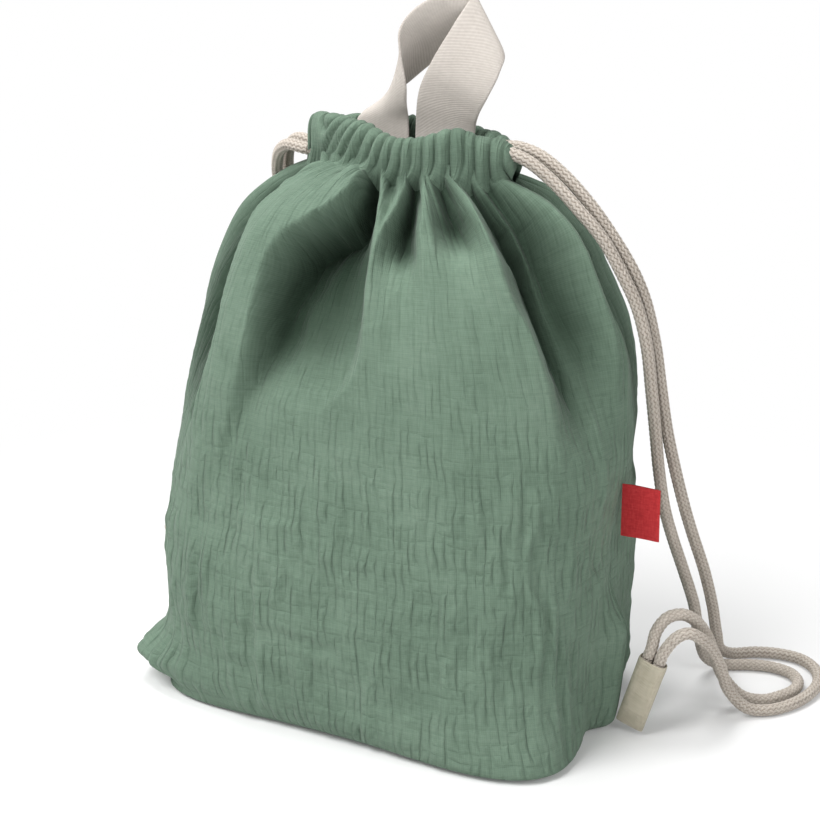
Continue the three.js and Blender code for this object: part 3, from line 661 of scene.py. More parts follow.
def ranged(tree, value, low, high, to_low, to_high):
    """A value between two limits, moved to two others."""
    limits = {"From Min": low, "From Max": high, "To Min": to_low, "To Max": to_high}
    return add_node(tree, "MapRange", {"Value": value, **limits}).outputs["Result"]


def pucker_creases(tree, axis, spacing, length):
    """Wandering creases between rows of puffs, 1 in a crease and 0 on a puff, strong in some places only."""
    stretch = (1 / (CREASE_SPREAD * spacing), 1 / length)
    if axis == "Y":
        stretch = stretch[::-1]
    wander = noise_node(tree, mapped(tree, stretch))
    place = cloth_place(tree, math.pi / spacing)[axis]
    phase = math_node(tree, "ADD", place, about(tree, wander, 0.5, 2.0 * math.pi))
    wave = math_node(tree, "ABSOLUTE", math_node(tree, "SINE", phase))
    crease = math_node(tree, "SUBTRACT", 1.0, math_node(tree, "POWER", wave, CREASE_ROUNDNESS))
    patch = noise_node(tree, mapped(tree, stretch), CREASE_PATCH_SCALE)
    return math_node(tree, "MULTIPLY", crease, ranged(tree, patch, *CREASE_PATCHES))


def woven(name, dark, middle, light, pitch, depth, slub, twill=0.0, crease=0.0, contrast=1.0, painted_shade_colour=None):
    """Woven cloth with threads at a pitch and slubs of a length; if asked, creases with painted shade, and
    painted shade in folds.
    """
    material, tree = new_material(name)
    threads = mapped(tree, (1 / pitch, 1 / pitch), twill)
    warp, weft = (thread_wave(tree, threads, axis) for axis in "XY")
    weave = warp if twill else math_node(tree, "MULTIPLY", math_node(tree, "ADD", warp, weft), 0.5)
    slub_scale = (1 / (SLUB_WIDTH * pitch), 1 / slub)
    slub_up = noise_node(tree, mapped(tree, slub_scale), detail=TONE_DETAIL)
    slub_across = noise_node(tree, mapped(tree, slub_scale[::-1]), detail=TONE_DETAIL)
    slubs = math_node(tree, "MULTIPLY", math_node(tree, "ADD", slub_up, slub_across), 0.5)
    slow = noise_node(tree, mapped(tree, (SLOW_PATCHES, SLOW_PATCHES)), detail=TONE_DETAIL)
    tone = math_node(tree, "ADD", 0.5, about(tree, slubs, 0.5, SLUB_TONE * contrast))
    tone = math_node(tree, "ADD", tone, about(tree, slow, 0.5, SLOW_TONE))
    tone = math_node(tree, "ADD", tone, about(tree, weave, 0.5, WEAVE_TONE * contrast))
    height = math_node(tree, "ADD", weave, math_node(tree, "MULTIPLY", slubs, SLUB_HEIGHT))
    if crease:
        up = pucker_creases(tree, "X", *CREASES_UP)
        across = math_node(tree, "MULTIPLY", pucker_creases(tree, "Y", *CREASES_ACROSS), CREASE_ACROSS_SHARE)
        lower = ranged(tree, cloth_place(tree, 1)["Y"], *CREASE_FADE)
        folded = math_node(tree, "MULTIPLY", math_node(tree, "MAXIMUM", up, across), lower)
        # Painted shade in the creases
        tone = math_node(tree, "SUBTRACT", tone, math_node(tree, "MULTIPLY", folded, CREASE_PAINTED_SHADE))
        height = math_node(tree, "SUBTRACT", height, math_node(tree, "MULTIPLY", folded, crease / depth))
    ramp = add_node(tree, "ValToRGB", {"Fac": tone})
    stops = ramp.color_ramp.elements
    stops[0].position, stops[1].position = TONE_RANGE
    stops[0].color, stops[1].color = linear(*dark), linear(*light)
    stops.new(0.5).color = linear(*middle)
    colour = ramp.outputs["Color"]
    # Painted shade: the colour is multiplied towards a darker one where the attribute is high
    if painted_shade_colour:
        painted_shade = tree.nodes.new("ShaderNodeAttribute")
        painted_shade.attribute_name = "painted_shade"
        settings = {"Fac": painted_shade.outputs["Fac"], "Color1": colour, "Color2": (*painted_shade_colour, 1)}
        darker = add_node(tree, "MixRGB", settings)
        darker.blend_type = "MULTIPLY"
        colour = darker.outputs["Color"]
    bump = add_node(tree, "Bump", {"Strength": BUMP_STRENGTH, "Distance": depth, "Height": height})
    settings = {**CLOTH_SURFACE, "Base Color": colour, "Normal": bump.outputs["Normal"]}
    set_inputs(tree, tree.nodes["Principled BSDF"], settings)
    return material


# Gauze and cord take their last colour as painted shade in folds and grooves
gauze = woven("gauze", (76, 94, 80), (101, 121, 105), (121, 139, 124), pitch=0.0009, depth=0.0001,
              slub=0.012, crease=0.0011, contrast=0.4, painted_shade_colour=(0.16, 0.2, 0.17))
lining_cloth = woven("lining", (112, 128, 112), (128, 144, 128), (142, 156, 141), pitch=0.0006,
                     depth=0.0001, slub=0.01)
binding_tape = woven("binding", (96, 118, 99), (110, 132, 112), (124, 145, 126), pitch=0.0008,
                     depth=0.00015, slub=0.008)
cord_cotton = woven("cord", (168, 160, 150), (196, 187, 177), (214, 207, 198), pitch=0.0005, depth=0.0001,
                    slub=0.003, painted_shade_colour=(0.42, 0.39, 0.35))
webbing_cotton = woven("webbing", (176, 169, 162), (188, 181, 174), (199, 193, 186), pitch=0.0012,
                       depth=0.00007, slub=0.006, twill=math.radians(58), contrast=0.6)
tab_twill = woven("twill", (163, 156, 138), (182, 175, 157), (196, 190, 173), pitch=0.0010, depth=0.0001,
                  slub=0.006, twill=math.radians(50))
red_weave = woven("red_weave", (156, 38, 42), (180, 50, 53), (194, 66, 67), pitch=0.0007, depth=0.00012,
                  slub=0.004)


# Camera at the photograph's angle
CAMERA_PLACE = (0.4347, -0.8147, 0.4526)
CAMERA_TARGET = (0.0105, -0.017, 0.159)
CAMERA_LENS = 83.4
CAMERA_SENSOR = 36
CAMERA_NEAR = 0.01


def aimed(name, data, place, target):
    """A camera or lamp at a place, turned to its target."""
    obj = bpy.data.objects.new(name, data)
    obj.location = place
    obj.rotation_euler = (Vector(target) - Vector(place)).to_track_quat("-Z", "Y").to_euler()
    bpy.context.scene.collection.objects.link(obj)
    return obj


camera_data = bpy.data.cameras.new("camera")
camera_data.lens = CAMERA_LENS
camera_data.sensor_fit = "HORIZONTAL"
camera_data.sensor_width = CAMERA_SENSOR
camera_data.clip_start = CAMERA_NEAR
bpy.context.scene.camera = aimed("camera", camera_data, CAMERA_PLACE, CAMERA_TARGET)


# Cords
def smooth_path(points, spacing):
    """Evenly spaced points on a centripetal spline through a cord's route."""
    p = np.asarray(points, float)
    p = np.vstack([2 * p[0] - p[1], p, 2 * p[-1] - p[-2]])
    knot = np.sqrt(np.linalg.norm(np.diff(p, axis=0), axis=1))
    fine = []
    for i in range(1, len(p) - 2):
        before, here, after = knot[i - 1], knot[i], knot[i + 1]
        a, b, c, d = p[i - 1:i + 3]
        start = here * ((b - a) / before - (c - a) / (before + here) + (c - b) / here)
        end = here * ((c - b) / here - (d - b) / (here + after) + (d - c) / after)
        t = np.linspace(0, 1, SPLINE_STEPS, endpoint=False)[:, None]
        fine.append(b + t * (start + t * (3 * (c - b) - 2 * start - end + t * (start + end - 2 * (c - b)))))
    fine = np.vstack([*fine, p[-2:-1]])
    length = arc_lengths(fine)
    count = max(FEWEST_RINGS, int(round(length[-1] / spacing)))
    at = np.linspace(0, length[-1], count + 1)
    return np.stack([np.interp(at, length, fine[:, k]) for k in range(3)], axis=1)


def path_frames(path):
    """Two directions across a path, carried along it without twisting."""
    tangent = np.gradient(path, axis=0)
    tangent /= np.linalg.norm(tangent, axis=1, keepdims=True)
    side = np.cross(tangent[0], (0, 0, 1.0))
    if np.linalg.norm(side) < 1e-3:
        side = np.cross(tangent[0], (0, 1.0, 0))
    across = np.empty_like(path)
    for k, t in enumerate(tangent):
        side = side - t * (side @ t)
        side /= np.linalg.norm(side)
        across[k] = side
    return across, np.cross(tangent, across)


def braided_cord(name, path):
    """A round braid along a path: strands of two helices pass over and under each other."""
    turn = np.arange(CORD_SIDES) * 2 * np.pi / CORD_SIDES
    along = arc_lengths(path)[:, None]
    one = BRAID_STRANDS * turn[None, :] / (2 * np.pi) + along / BRAID_PITCH
    two = BRAID_STRANDS * turn[None, :] / (2 * np.pi) - along / BRAID_PITCH
    over = (np.floor(one) + np.floor(two)) % 2 == 0
    crown = np.sin(np.pi * np.where(over, one % 1, two % 1))
    radius = CORD_DIAMETER / 2 + BRAID_DEPTH * (crown - BRAID_MIDDLE)
    across, up = path_frames(path)
    cosine, sine = (wave(turn)[None, :, None] for wave in (np.cos, np.sin))
    points = path[:, None, :] + radius[..., None] * (cosine * across[:, None, :] + sine * up[:, None, :])
    obj = grid_object(name, points, (turn[None, :] * CORD_DIAMETER / 2, along), ring=True)
    close_ends(obj, len(path), CORD_SIDES)
    # Painted shade in the grooves between strands
    keep_painted_shade(obj, (1 - crown) ** BRAID_DARK_POWER)
    return obj


# Free strands: the side they leave at, their casing, their height there and points on their route
STRANDS = {
    "right_strand_front": (1, -1, UPPER_CORD, [
        (0.057, -0.0056, 0.291), (0.067, -0.004, 0.287), (0.079, -0.002, 0.278), (0.092, 0, 0.265),
        (0.103, 0.003, 0.252), (0.1125, 0.006, 0.235), (0.119, 0.009, 0.220), (0.1235, 0.012, 0.201),
        (0.1255, 0.016, 0.177), (0.1265, 0.021, 0.155), (0.127, 0.027, 0.133), (0.128, 0.035, 0.110),
        (0.130, 0.043, 0.092), (0.1335, 0.053, 0.070), (0.136, 0.064, 0.048), (0.136, 0.075, 0.025),
        (0.138, 0.084, 0.009), (0.145, 0.092, 0.0033), (0.157, 0.098, 0.0033), (0.170, 0.101, 0.0033),
        (0.181, 0.098, 0.0033), (0.187, 0.090, 0.0033), (0.188, 0.080, 0.0033), (0.184, 0.070, 0.0033),
        (0.177, 0.061, 0.0033), (0.168, 0.055, 0.006), (0.160, 0.047, 0.018), (0.158, 0.035, 0.036),
        (0.157, 0.024, 0.051), (0.154, 0.016, 0.061), (0.149, 0.010, 0.066), (0.143, 0.005, 0.065),
        (0.1385, 0.002, 0.058),
    ]),
    "right_strand_back": (1, 1, UPPER_CORD, [
        (0.057, 0.0056, 0.2916), (0.068, 0.005, 0.289), (0.080, 0.006, 0.281), (0.093, 0.008, 0.268),
        (0.1035, 0.0105, 0.254), (0.114, 0.0135, 0.237), (0.120, 0.0165, 0.222), (0.125, 0.0195, 0.200),
        (0.1275, 0.0235, 0.177), (0.1295, 0.0285, 0.155), (0.132, 0.035, 0.134), (0.1355, 0.043, 0.110),
        (0.138, 0.051, 0.092), (0.1415, 0.061, 0.070), (0.143, 0.073, 0.046), (0.142, 0.086, 0.024),
        (0.141, 0.098, 0.009), (0.145, 0.108, 0.0033), (0.155, 0.115, 0.0033), (0.167, 0.119, 0.0033),
        (0.180, 0.118, 0.0033), (0.190, 0.110, 0.0033), (0.196, 0.097, 0.0033), (0.197, 0.083, 0.0033),
        (0.193, 0.066, 0.0033), (0.184, 0.052, 0.0033), (0.174, 0.045, 0.005), (0.166, 0.038, 0.016),
        (0.164, 0.028, 0.033), (0.162, 0.018, 0.047), (0.159, 0.010, 0.055), (0.1545, 0.005, 0.059),
        (0.1495, 0.002, 0.057),
    ]),
    "left_strand_front": (-1, -1, LOWER_CORD, [
        (-0.057, -0.0054, 0.2838), (-0.066, -0.002, 0.284), (-0.076, 0.006, 0.280), (-0.086, 0.018, 0.272),
        (-0.095, 0.032, 0.260), (-0.102, 0.047, 0.245), (-0.107, 0.061, 0.227), (-0.110, 0.073, 0.206),
        (-0.111, 0.082, 0.184), (-0.111, 0.088, 0.160), (-0.110, 0.092, 0.135), (-0.110, 0.093, 0.110),
        (-0.111, 0.093, 0.085), (-0.114, 0.092, 0.060), (-0.119, 0.091, 0.037), (-0.126, 0.092, 0.018),
        (-0.134, 0.097, 0.006), (-0.143, 0.102, 0.0033), (-0.153, 0.103, 0.0033), (-0.161, 0.098, 0.0033),
        (-0.165, 0.089, 0.0033), (-0.165, 0.078, 0.0033), (-0.161, 0.067, 0.0033), (-0.157, 0.057, 0.006),
        (-0.154, 0.047, 0.018), (-0.153, 0.036, 0.035), (-0.153, 0.025, 0.050), (-0.151, 0.017, 0.060),
        (-0.148, 0.010, 0.065), (-0.143, 0.005, 0.065), (-0.1385, 0.002, 0.058),
    ]),
    "left_strand_back": (-1, 1, LOWER_CORD, [
        (-0.057, 0.0058, 0.2842), (-0.066, 0.009, 0.2855), (-0.076, 0.017, 0.282), (-0.086, 0.029, 0.274),
        (-0.095, 0.043, 0.261), (-0.102, 0.058, 0.246), (-0.107, 0.072, 0.228), (-0.110, 0.083, 0.207),
        (-0.111, 0.091, 0.184), (-0.112, 0.096, 0.160), (-0.113, 0.100, 0.135), (-0.115, 0.102, 0.110),
        (-0.118, 0.103, 0.085), (-0.122, 0.103, 0.060), (-0.127, 0.103, 0.037), (-0.133, 0.106, 0.018),
        (-0.140, 0.111, 0.006), (-0.150, 0.115, 0.0033), (-0.161, 0.114, 0.0033), (-0.170, 0.107, 0.0033),
        (-0.175, 0.096, 0.0033), (-0.175, 0.083, 0.0033), (-0.172, 0.069, 0.0033), (-0.168, 0.056, 0.005),
        (-0.165, 0.045, 0.015), (-0.163, 0.034, 0.030), (-0.162, 0.022, 0.045), (-0.159, 0.012, 0.054),
        (-0.1545, 0.005, 0.058), (-0.1495, 0.002, 0.057),
    ]),
}


def tab_frame(side):
    """Mouth centre of a tab, its direction upwards and its direction away from the bag."""
    low, high = (np.array(c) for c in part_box("right_tab" if side > 0 else "left_tab"))
    up = np.array((side * math.sin(TAB_LEAN), 0, math.cos(TAB_LEAN)))
    out = np.array((side * math.cos(TAB_LEAN), 0, -math.sin(TAB_LEAN)))
    outermost = high[0] if side > 0 else low[0]
    top_outer = np.array((outermost, 0, high[2] - TAB_WIDTH * math.sin(TAB_LEAN)))
    return top_outer - out * TAB_WIDTH / 2, up, out


for name, (exit_side, side, height, route) in STRANDS.items():
    mouth, up, out = tab_frame(exit_side)
    end = mouth + out * side * CORD_END_OFFSET
    exit_point = np.array((exit_side * (CASING_HALF_WIDTH + SEAM_GAP), side * CASING_END_OFFSET, height))
    lead = exit_point + np.array((exit_side * CORD_LEAD, 0, 0))
    path = smooth_path([exit_point, lead, *route, end + up * TAB_LEAD, end + up * SEAM_GAP], CORD_RING_STEP)
    strand = dress(braided_cord(name.replace("strand", "cord"), path), cord_cotton, "cord", name)
    bend_by(strand)


# Mouth, whose front half lies towards -Y
HALVES = {"front": -1, "back": 1}


def casing_line(side, t):
    """Middle of a casing's tunnel and its outward direction at each angle along it."""
    bow = CASING_BOW * np.abs(np.sin(t)) ** CASING_BOW_POWER
    middle = np.stack([CASING_HALF_WIDTH * np.cos(t), side * (CASING_END_OFFSET + bow)], axis=-1)
    slope = CASING_BOW_POWER * CASING_BOW * np.sin(t) * np.abs(np.sin(t)) * np.cos(t) / CASING_HALF_WIDTH
    outward = np.stack([slope, side + 0 * slope], axis=-1)
    return middle, outward / np.linalg.norm(outward, axis=-1, keepdims=True)


def cord_run(cord, exit_side, height, half):
    """A cord's run through one casing and half of its turn at the far end."""
    end, off = CASING_HALF_WIDTH, CASING_END_OFFSET
    inner = [(p[0], p[1]) for p in casing_line(1, RUN_BENDS)[0]]
    last = end - TURN_SETBACK
    turn = last + off
    line = [(end, off), (end - CORD_LEAD, off), *inner, (-last, off),
            (-last - off * math.sqrt(0.5), off * math.sqrt(0.5)), (-turn, CORD_LEAD), (-turn, SEAM_GAP / 2)]
    path = smooth_path([(exit_side * x, HALVES[half] * y, height) for x, y in line], CORD_RING_STEP)
    run = dress(braided_cord(f"{cord}_cord_run_{half}", path), cord_cotton, "cord", f"{cord}_run_{half}")
    bend_by(run)


for cord, exit_side, height in (("right", 1, UPPER_CORD), ("left", -1, LOWER_CORD)):
    for half in HALVES:
        cord_run(cord, exit_side, height, half)


# Creases between the ruffles that each casing and the cloth under it share, as places across
FRONT_CREASES = (0.064, 0.0525, 0.0455, 0.0385, 0.034, 0.0275, 0.021, 0.0155, 0.0105, 0.005, -0.0015,
                 -0.008, -0.015, -0.023, -0.032, -0.0395, -0.046, -0.0525, -0.064)
BACK_CREASES = (0.064, 0.052, 0.046, 0.041, 0.034, 0.029, 0.022, 0.016, 0.0115, 0.004, -0.001,
                -0.008, -0.013, -0.020, -0.026, -0.030, -0.037, -0.0415, -0.048, -0.053, -0.064)


def ruffle(side, x):
    """Puffed ruffles with a crease between each two, at places across. Wide ruffles stand out further."""
    creases = np.array(FRONT_CREASES if side < 0 else BACK_CREASES)[::-1]
    place = np.interp(x, creases, np.arange(len(creases)))
    middles = (creases[1:] + creases[:-1]) / 2
    mean, change, step = RUFFLE_EVENNESS
    uneven = mean + change * np.sin(step * np.arange(len(middles)))
    size = np.interp(x, middles, np.minimum(np.diff(creases) / FULL_RUFFLE, 1) * uneven)
    return size * np.abs(np.sin(np.pi * place)) ** RUFFLE_ROUNDNESS


def crinkle(u, v):
    """Height of double gauze's puckers at a place on the flat cloth, in rows up and across."""
    uu = u + WANDER * noise(u, v, *WANDER_ACROSS)
    vv = v + WANDER * noise(u, v, *WANDER_ALONG)
    up = noise(uu, vv, *PUCKERS_UP)
    across = noise(uu, vv, *PUCKERS_ACROSS)
    strong_up = smooth(noise(u, v, *PATCHES_UP), *PATCH_RANGE_UP)
    strong_across = smooth(noise(u, v, *PATCHES_ACROSS), *PATCH_RANGE_ACROSS)
    strong = 1 - PUCKER_FADE_SHARE * smooth(v, *PUCKER_FADE)
    return strong * (UP_HEIGHT * up * strong_up + ACROSS_HEIGHT * across * strong_across
                     + FINE_HEIGHT * noise(uu, vv, *PUCKERS_FINE))


def panel(half, side):
    """One outer panel from the bottom seam up into the casing, with its folds, gathers and crinkle."""
    angle = panel_angles(side, PANEL_STEPS)
    fine = np.linspace(-1, NECK_LEVEL, LENGTH_SAMPLES)
    length = arc_lengths(body_grid(side, np.array([side * 90.0]), fine)[:, 0])
    up_cloth = np.linspace(0, length[-1], PANEL_STEPS + 1)
    level = np.interp(up_cloth, length, fine)
    points, painted_shade = folded_grid(side, angle, level)
    around = body_grid(side, angle, np.array([BELLY_LEVEL], float))[0]
    u, v = np.meshgrid(arc_lengths(around), up_cloth)
    neck_x = points[-1, :, 0].copy()
    casing_x = neck_x * CASING_HALF_WIDTH / NECK_HALF_WIDTH
    gathers = ruffle(side, casing_x)[None, :]
    near_neck = smooth(level, *GATHERS)[:, None] ** GATHER_POWER
    height = GATHER_HEIGHT * near_neck * (gathers - 0.5)
    from_seam = smooth(np.abs(points[..., 1]), 0.0, SEAM_CALM[side])
    standing = smooth(points[..., 2], *PUCKER_START) * (SEAM_PUCKERS + (1 - SEAM_PUCKERS) * from_seam)
    puckers = crinkle(u + BACK_CLOTH * (side > 0), v) * standing * (1 - GATHER_CALM * near_neck)
    points = points + grid_normals(points) * ((height + puckers) * off_seam(points))[..., None]
    points[..., 2] = np.maximum(points[..., 2], FLOOR_GAP)
    # Painted shade between the gathers
    painted_shade = np.maximum(painted_shade, GATHER_PAINTED_SHADE * near_neck * (1 - gathers) ** 2)
    foot = points[np.searchsorted(level, CASING_MEETS)]
    tucked = points[-1] * np.array(TUCK_SHARE) + np.array((0, 0, TUCK_HEIGHT))
    points = np.concatenate([points, tucked[None]])
    cloth = np.concatenate([u, u[-1:]]), np.concatenate([v, v[-1:] + TUCK_CLOTH])
    obj = dress(grid_object("bag_" + half, points, cloth), gauze, "gauze", half + "_panel")
    keep_painted_shade(obj, np.concatenate([painted_shade, painted_shade[-1:]]))
    bend_by(obj)
    return casing_x, foot


feet = {half: panel(half, side) for half, side in HALVES.items()}


# Lift of each casing's rim: place across and height
FRONT_RIM = [
    (-0.064, 0.001), (-0.052, 0.002), (-0.0395, 0.0025), (-0.0295, 0.0024), (-0.021, 0.0016), (-0.0125, 0),
    (-0.005, -0.003), (0.002, -0.0042), (0.008, -0.0038), (0.0145, -0.0026), (0.020, -0.001), (0.026, 0.001),
    (0.0315, 0.0016), (0.037, -0.0006), (0.042, -0.0026), (0.048, -0.0026), (0.052, -0.004), (0.064, -0.006),
]
BACK_RIM = [
    (-0.064, -0.002), (-0.052, -0.001), (-0.040, -0.0005), (-0.033, 0.0005), (-0.020, 0), (0, -0.001),
    (0.020, -0.002), (0.030, -0.003), (0.0365, -0.0028), (0.043, -0.0043), (0.048, -0.006), (0.064, -0.008),
]


def casing_spine(side):
    """Middle of a casing from end to end, its outward direction, and its size as it closes at the ends."""
    middle, outward = casing_line(side, np.linspace(0, np.pi, CASING_ROWS))
    closing = np.linspace(0, 1, CASING_CAP_ROWS + 1)[1:] * np.pi / 2
    size = np.concatenate([np.cos(closing)[::-1], np.ones(len(middle)), np.cos(closing)])[:, None]
    y = side * CASING_END_OFFSET * (CASING_TIP_OFFSET + (1 - CASING_TIP_OFFSET) * np.cos(closing))
    right, left = (np.stack([end * (CASING_HALF_WIDTH + CASING_CAP * np.sin(closing)), y], axis=-1)
                   for end in (1, -1))
    flat = np.repeat([[0, side]], CASING_CAP_ROWS, axis=0)
    middle = np.concatenate([right[::-1], middle, left])
    return middle, np.concatenate([flat, outward, flat]), np.maximum(size, CASING_TIP)


def casing(half, side, panel_foot):
    """A gathered tunnel: a flattened tube, puffed into ruffles that run into the panel, with closed ends."""
    middle, outward, size = casing_spine(side)
    x = middle[:, :1]
    phi = np.pi + np.arange(CASING_SIDES) * 2 * np.pi / CASING_SIDES
    out, up = np.cos(phi)[None, :], np.sin(phi)[None, :]
    thick, tall = rounded(out, CASING_ROUNDNESS), rounded(up, CASING_ROUNDNESS)
    above_foot = smooth(tall, *CASING_FOOT_BAND)
    half_thickness = CASING_HALF_THICKNESS * (CASING_FOOT_SHARE + (1 - CASING_FOOT_SHARE) * above_foot)
    slanting = smooth(-x, *SLANT_STARTS) * (1 - smooth(-x, *SLANT_ENDS))
    slant = RUFFLE_SLANT * slanting * (tall + 1)
    puff = ruffle(side, x - slant)
    swell = RUFFLE_SWELL * puff - RUFFLE_SINK
    reach = size * (half_thickness * thick + swell * out)
    rim = smooth(tall, *CASING_RIM)
    z = size * (CASING_HEIGHT / 2 * tall + swell * RUFFLE_RISE * (2 - rim) * up)
    lift = np.array(FRONT_RIM if side < 0 else BACK_RIM)
    z = z + through(lift[:, 0], lift[:, 1], x) * rim
    points = np.empty((len(middle), CASING_SIDES, 3))
    points[..., :2] = middle[:, None, :] + outward[:, None, :] * reach[..., None]
    points[..., 2] = CASING_FOOT + CASING_HEIGHT / 2 + z
    points[..., 0] += CASING_SHIFT
    across, foot = panel_foot
    order = np.argsort(across)
    target = np.stack([np.interp(middle[:, 0], across[order], foot[order, k]) for k in range(3)], axis=-1)
    target[:, :2] -= outward * RUFFLE_FOOT_INSET
    runs_in = (smooth(-tall, *RUFFLE_FOOT) * smooth(out, *RUFFLE_FACE) * size ** 2)[..., None]
    points = points + (target[:, None, :] - points) * runs_in
    u = np.repeat(arc_lengths(middle)[:, None] * CASING_FULLNESS, CASING_SIDES, axis=1)
    v = np.repeat(CASING_CLOTH_FOOT + phi[None, :] * CASING_CLOTH_TURN, len(middle), axis=0)
    obj = grid_object("casing_" + half, points, (u, v), ring=True, flip=side < 0)
    close_ends(obj, len(middle), CASING_SIDES)
    dress(obj, gauze, "gauze", half + "_casing")
    # Painted shade in the creases between ruffles
    keep_painted_shade(obj, RUFFLE_PAINTED_SHADE * (1 - puff) ** RUFFLE_DARK_POWER * size)
    bend_by(obj)


for half, side in HALVES.items():
    casing(half, side, feet[half])


# Lining and the tapes that bind its seams
def lining(half, side):
    """Half of the inner bag, hung clear of the deepest fold near each point."""
    angle = panel_angles(side, LINING_STEPS)
    level = np.linspace(-1, NECK_LEVEL, LINING_STEPS + 1)
    outer = body_grid(side, angle, level)
    valleys = np.pad(np.minimum(fold_relief(angle, level)[0], 0) * off_seam(outer), LINING_REACH, mode="edge")
    steps = range(2 * LINING_REACH + 1)
    near = [valleys[i:i + len(level), j:j + len(angle)] for i in steps for j in steps]
    inset = np.interp(level, range(len(LINING_INSET)), LINING_INSET)[:, None]
    points = outer + grid_normals(outer) * (np.min(near, axis=0) - inset)[..., None]
    points[..., 1] = side * np.maximum(np.abs(points[..., 1]), SEAM_GAP / 2)
    points[-1, :, 2] = NECK_HEIGHT + LINING_TUCK
    u, v = np.meshgrid(*(np.linspace(0, size, LINING_STEPS + 1) for size in LINING_CUT))
    obj = grid_object("lining_cloth_" + half, points, (u, v), flip=True)
    dress(obj, lining_cloth, "lining", "lining_" + half)
    bend_by(obj)


for half, side in HALVES.items():
    lining(half, side)

for node in ("right_binding", "left_binding", "bottom_binding"):
    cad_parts[node].data.materials.clear()
    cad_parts[node].data.materials.append(binding_tape)


# Carry loop from its left end over the arch: places of both edges across, behind and above the fold, and bow
LOOP_ROWS = [
    ((-0.034, 0, -LOOP_SEWN_DEPTH), (-0.002, 0, -LOOP_SEWN_DEPTH), 0),
    ((-0.033, 0, -0.007), (-0.002, 0, -0.007), 0),
    ((-0.0295, 0.001, 0), (-0.002, -0.0005, 0), -0.001),
    ((-0.0205, 0.006, 0.007), (-0.0012, -0.004, 0.008), -0.003),
    ((-0.0107, 0.0115, 0.0145), (0.0003, -0.0075, 0.018), -0.0055),
    ((-0.0005, 0.014, 0.023), (-0.0019, -0.0085, 0.032), -0.005),
    ((0.011, 0.015, 0.032), (-0.003, -0.008, 0.043), -0.002),
    ((0.025, 0.012, 0.039), (0.0025, -0.006, 0.0525), 0),
    ((0.036, 0.007, 0.043), (0.014, -0.004, 0.060), 0),
    ((0.049, 0, 0.034), (0.0325, -0.001, 0.063), 0),
    ((0.049, -0.005, 0.026), (0.0255, -0.006, 0.048), 0),
    ((0.0435, -0.006, 0.0145), (0.014, -0.007, 0.0295), 0),
    ((0.037, -0.003, 0.0045), (0.0057, -0.004, 0.0145), 0.001),
    ((0.034, 0, -0.005), (0.002, 0, -0.005), 0),
    ((0.034, 0, -LOOP_SEWN_DEPTH), (0.002, 0, -LOOP_SEWN_DEPTH), 0),
]
end_low, end_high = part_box("loop_left_end")
LOOP_DEPTH = (end_low[1] + end_high[1]) / 2
LOOP_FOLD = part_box("carry_loop")[0][2]


def carry_loop():
    """A strip of webbing stretched between its two edges, with its thickness on both sides."""
    one, other = (np.array([row[k] for row in LOOP_ROWS], float) for k in (0, 1))
    place = arc_lengths((one + other) / 2)
    at = np.linspace(0, place[-1], LOOP_STEPS)
    one, other = (np.stack([through(place, edge[:, k], at) for k in range(3)], axis=1)
                  for edge in (one, other))
    bow = through(place, [row[2] for row in LOOP_ROWS], at)[:, None]
    share = np.linspace(0, 1, LOOP_ACROSS)
    face = np.cross(np.gradient(one + other, axis=0), other - one)
    face /= np.linalg.norm(face, axis=1, keepdims=True)
    middle = (one[:, None, :] + (other - one)[:, None, :] * share[None, :, None]
              + face[:, None, :] * (bow * 4 * share * (1 - share))[..., None])
    middle += np.array((0, LOOP_DEPTH, LOOP_FOLD))
    thinning = 1 - SELVEDGE_THINNING * np.abs(2 * share - 1) ** SELVEDGE_POWER
    out = grid_normals(middle) * (WEBBING_THICKNESS / 2 * thinning)[None, :, None]
    points = np.concatenate([middle - out, (middle + out)[:, ::-1]], axis=1)
    across = np.concatenate([share, share[::-1]]) * WEBBING_WIDTH
    u, v = np.meshgrid(across, at)
    obj = grid_object("webbing_loop", points, (u, v), ring=True)
    close_ends(obj, len(at), len(across))
    dress(obj, webbing_cotton, "webbing", "carry_loop", "loop_left_end", "loop_right_end")
    bend_by(obj)


carry_loop()


# Tabs, by rings from inside the mouth down to the foot: depth, and shares of width and thickness
TAB_RINGS = [
    (0.005, 0.86, 0.80), (0.0006, 0.88, 0.84), (0, 0.93, 0.92), (0.0006, 0.985, 0.99), (0.003, 1, 1),
    (0.008, 0.99, 0.97), (0.02, 0.985, 0.95), (0.030, 0.99, 0.8), (0.036, 1, 0.5), (0.0392, 0.995, 0.36),
    (TAB_LENGTH, 0.97, 0.28),
]


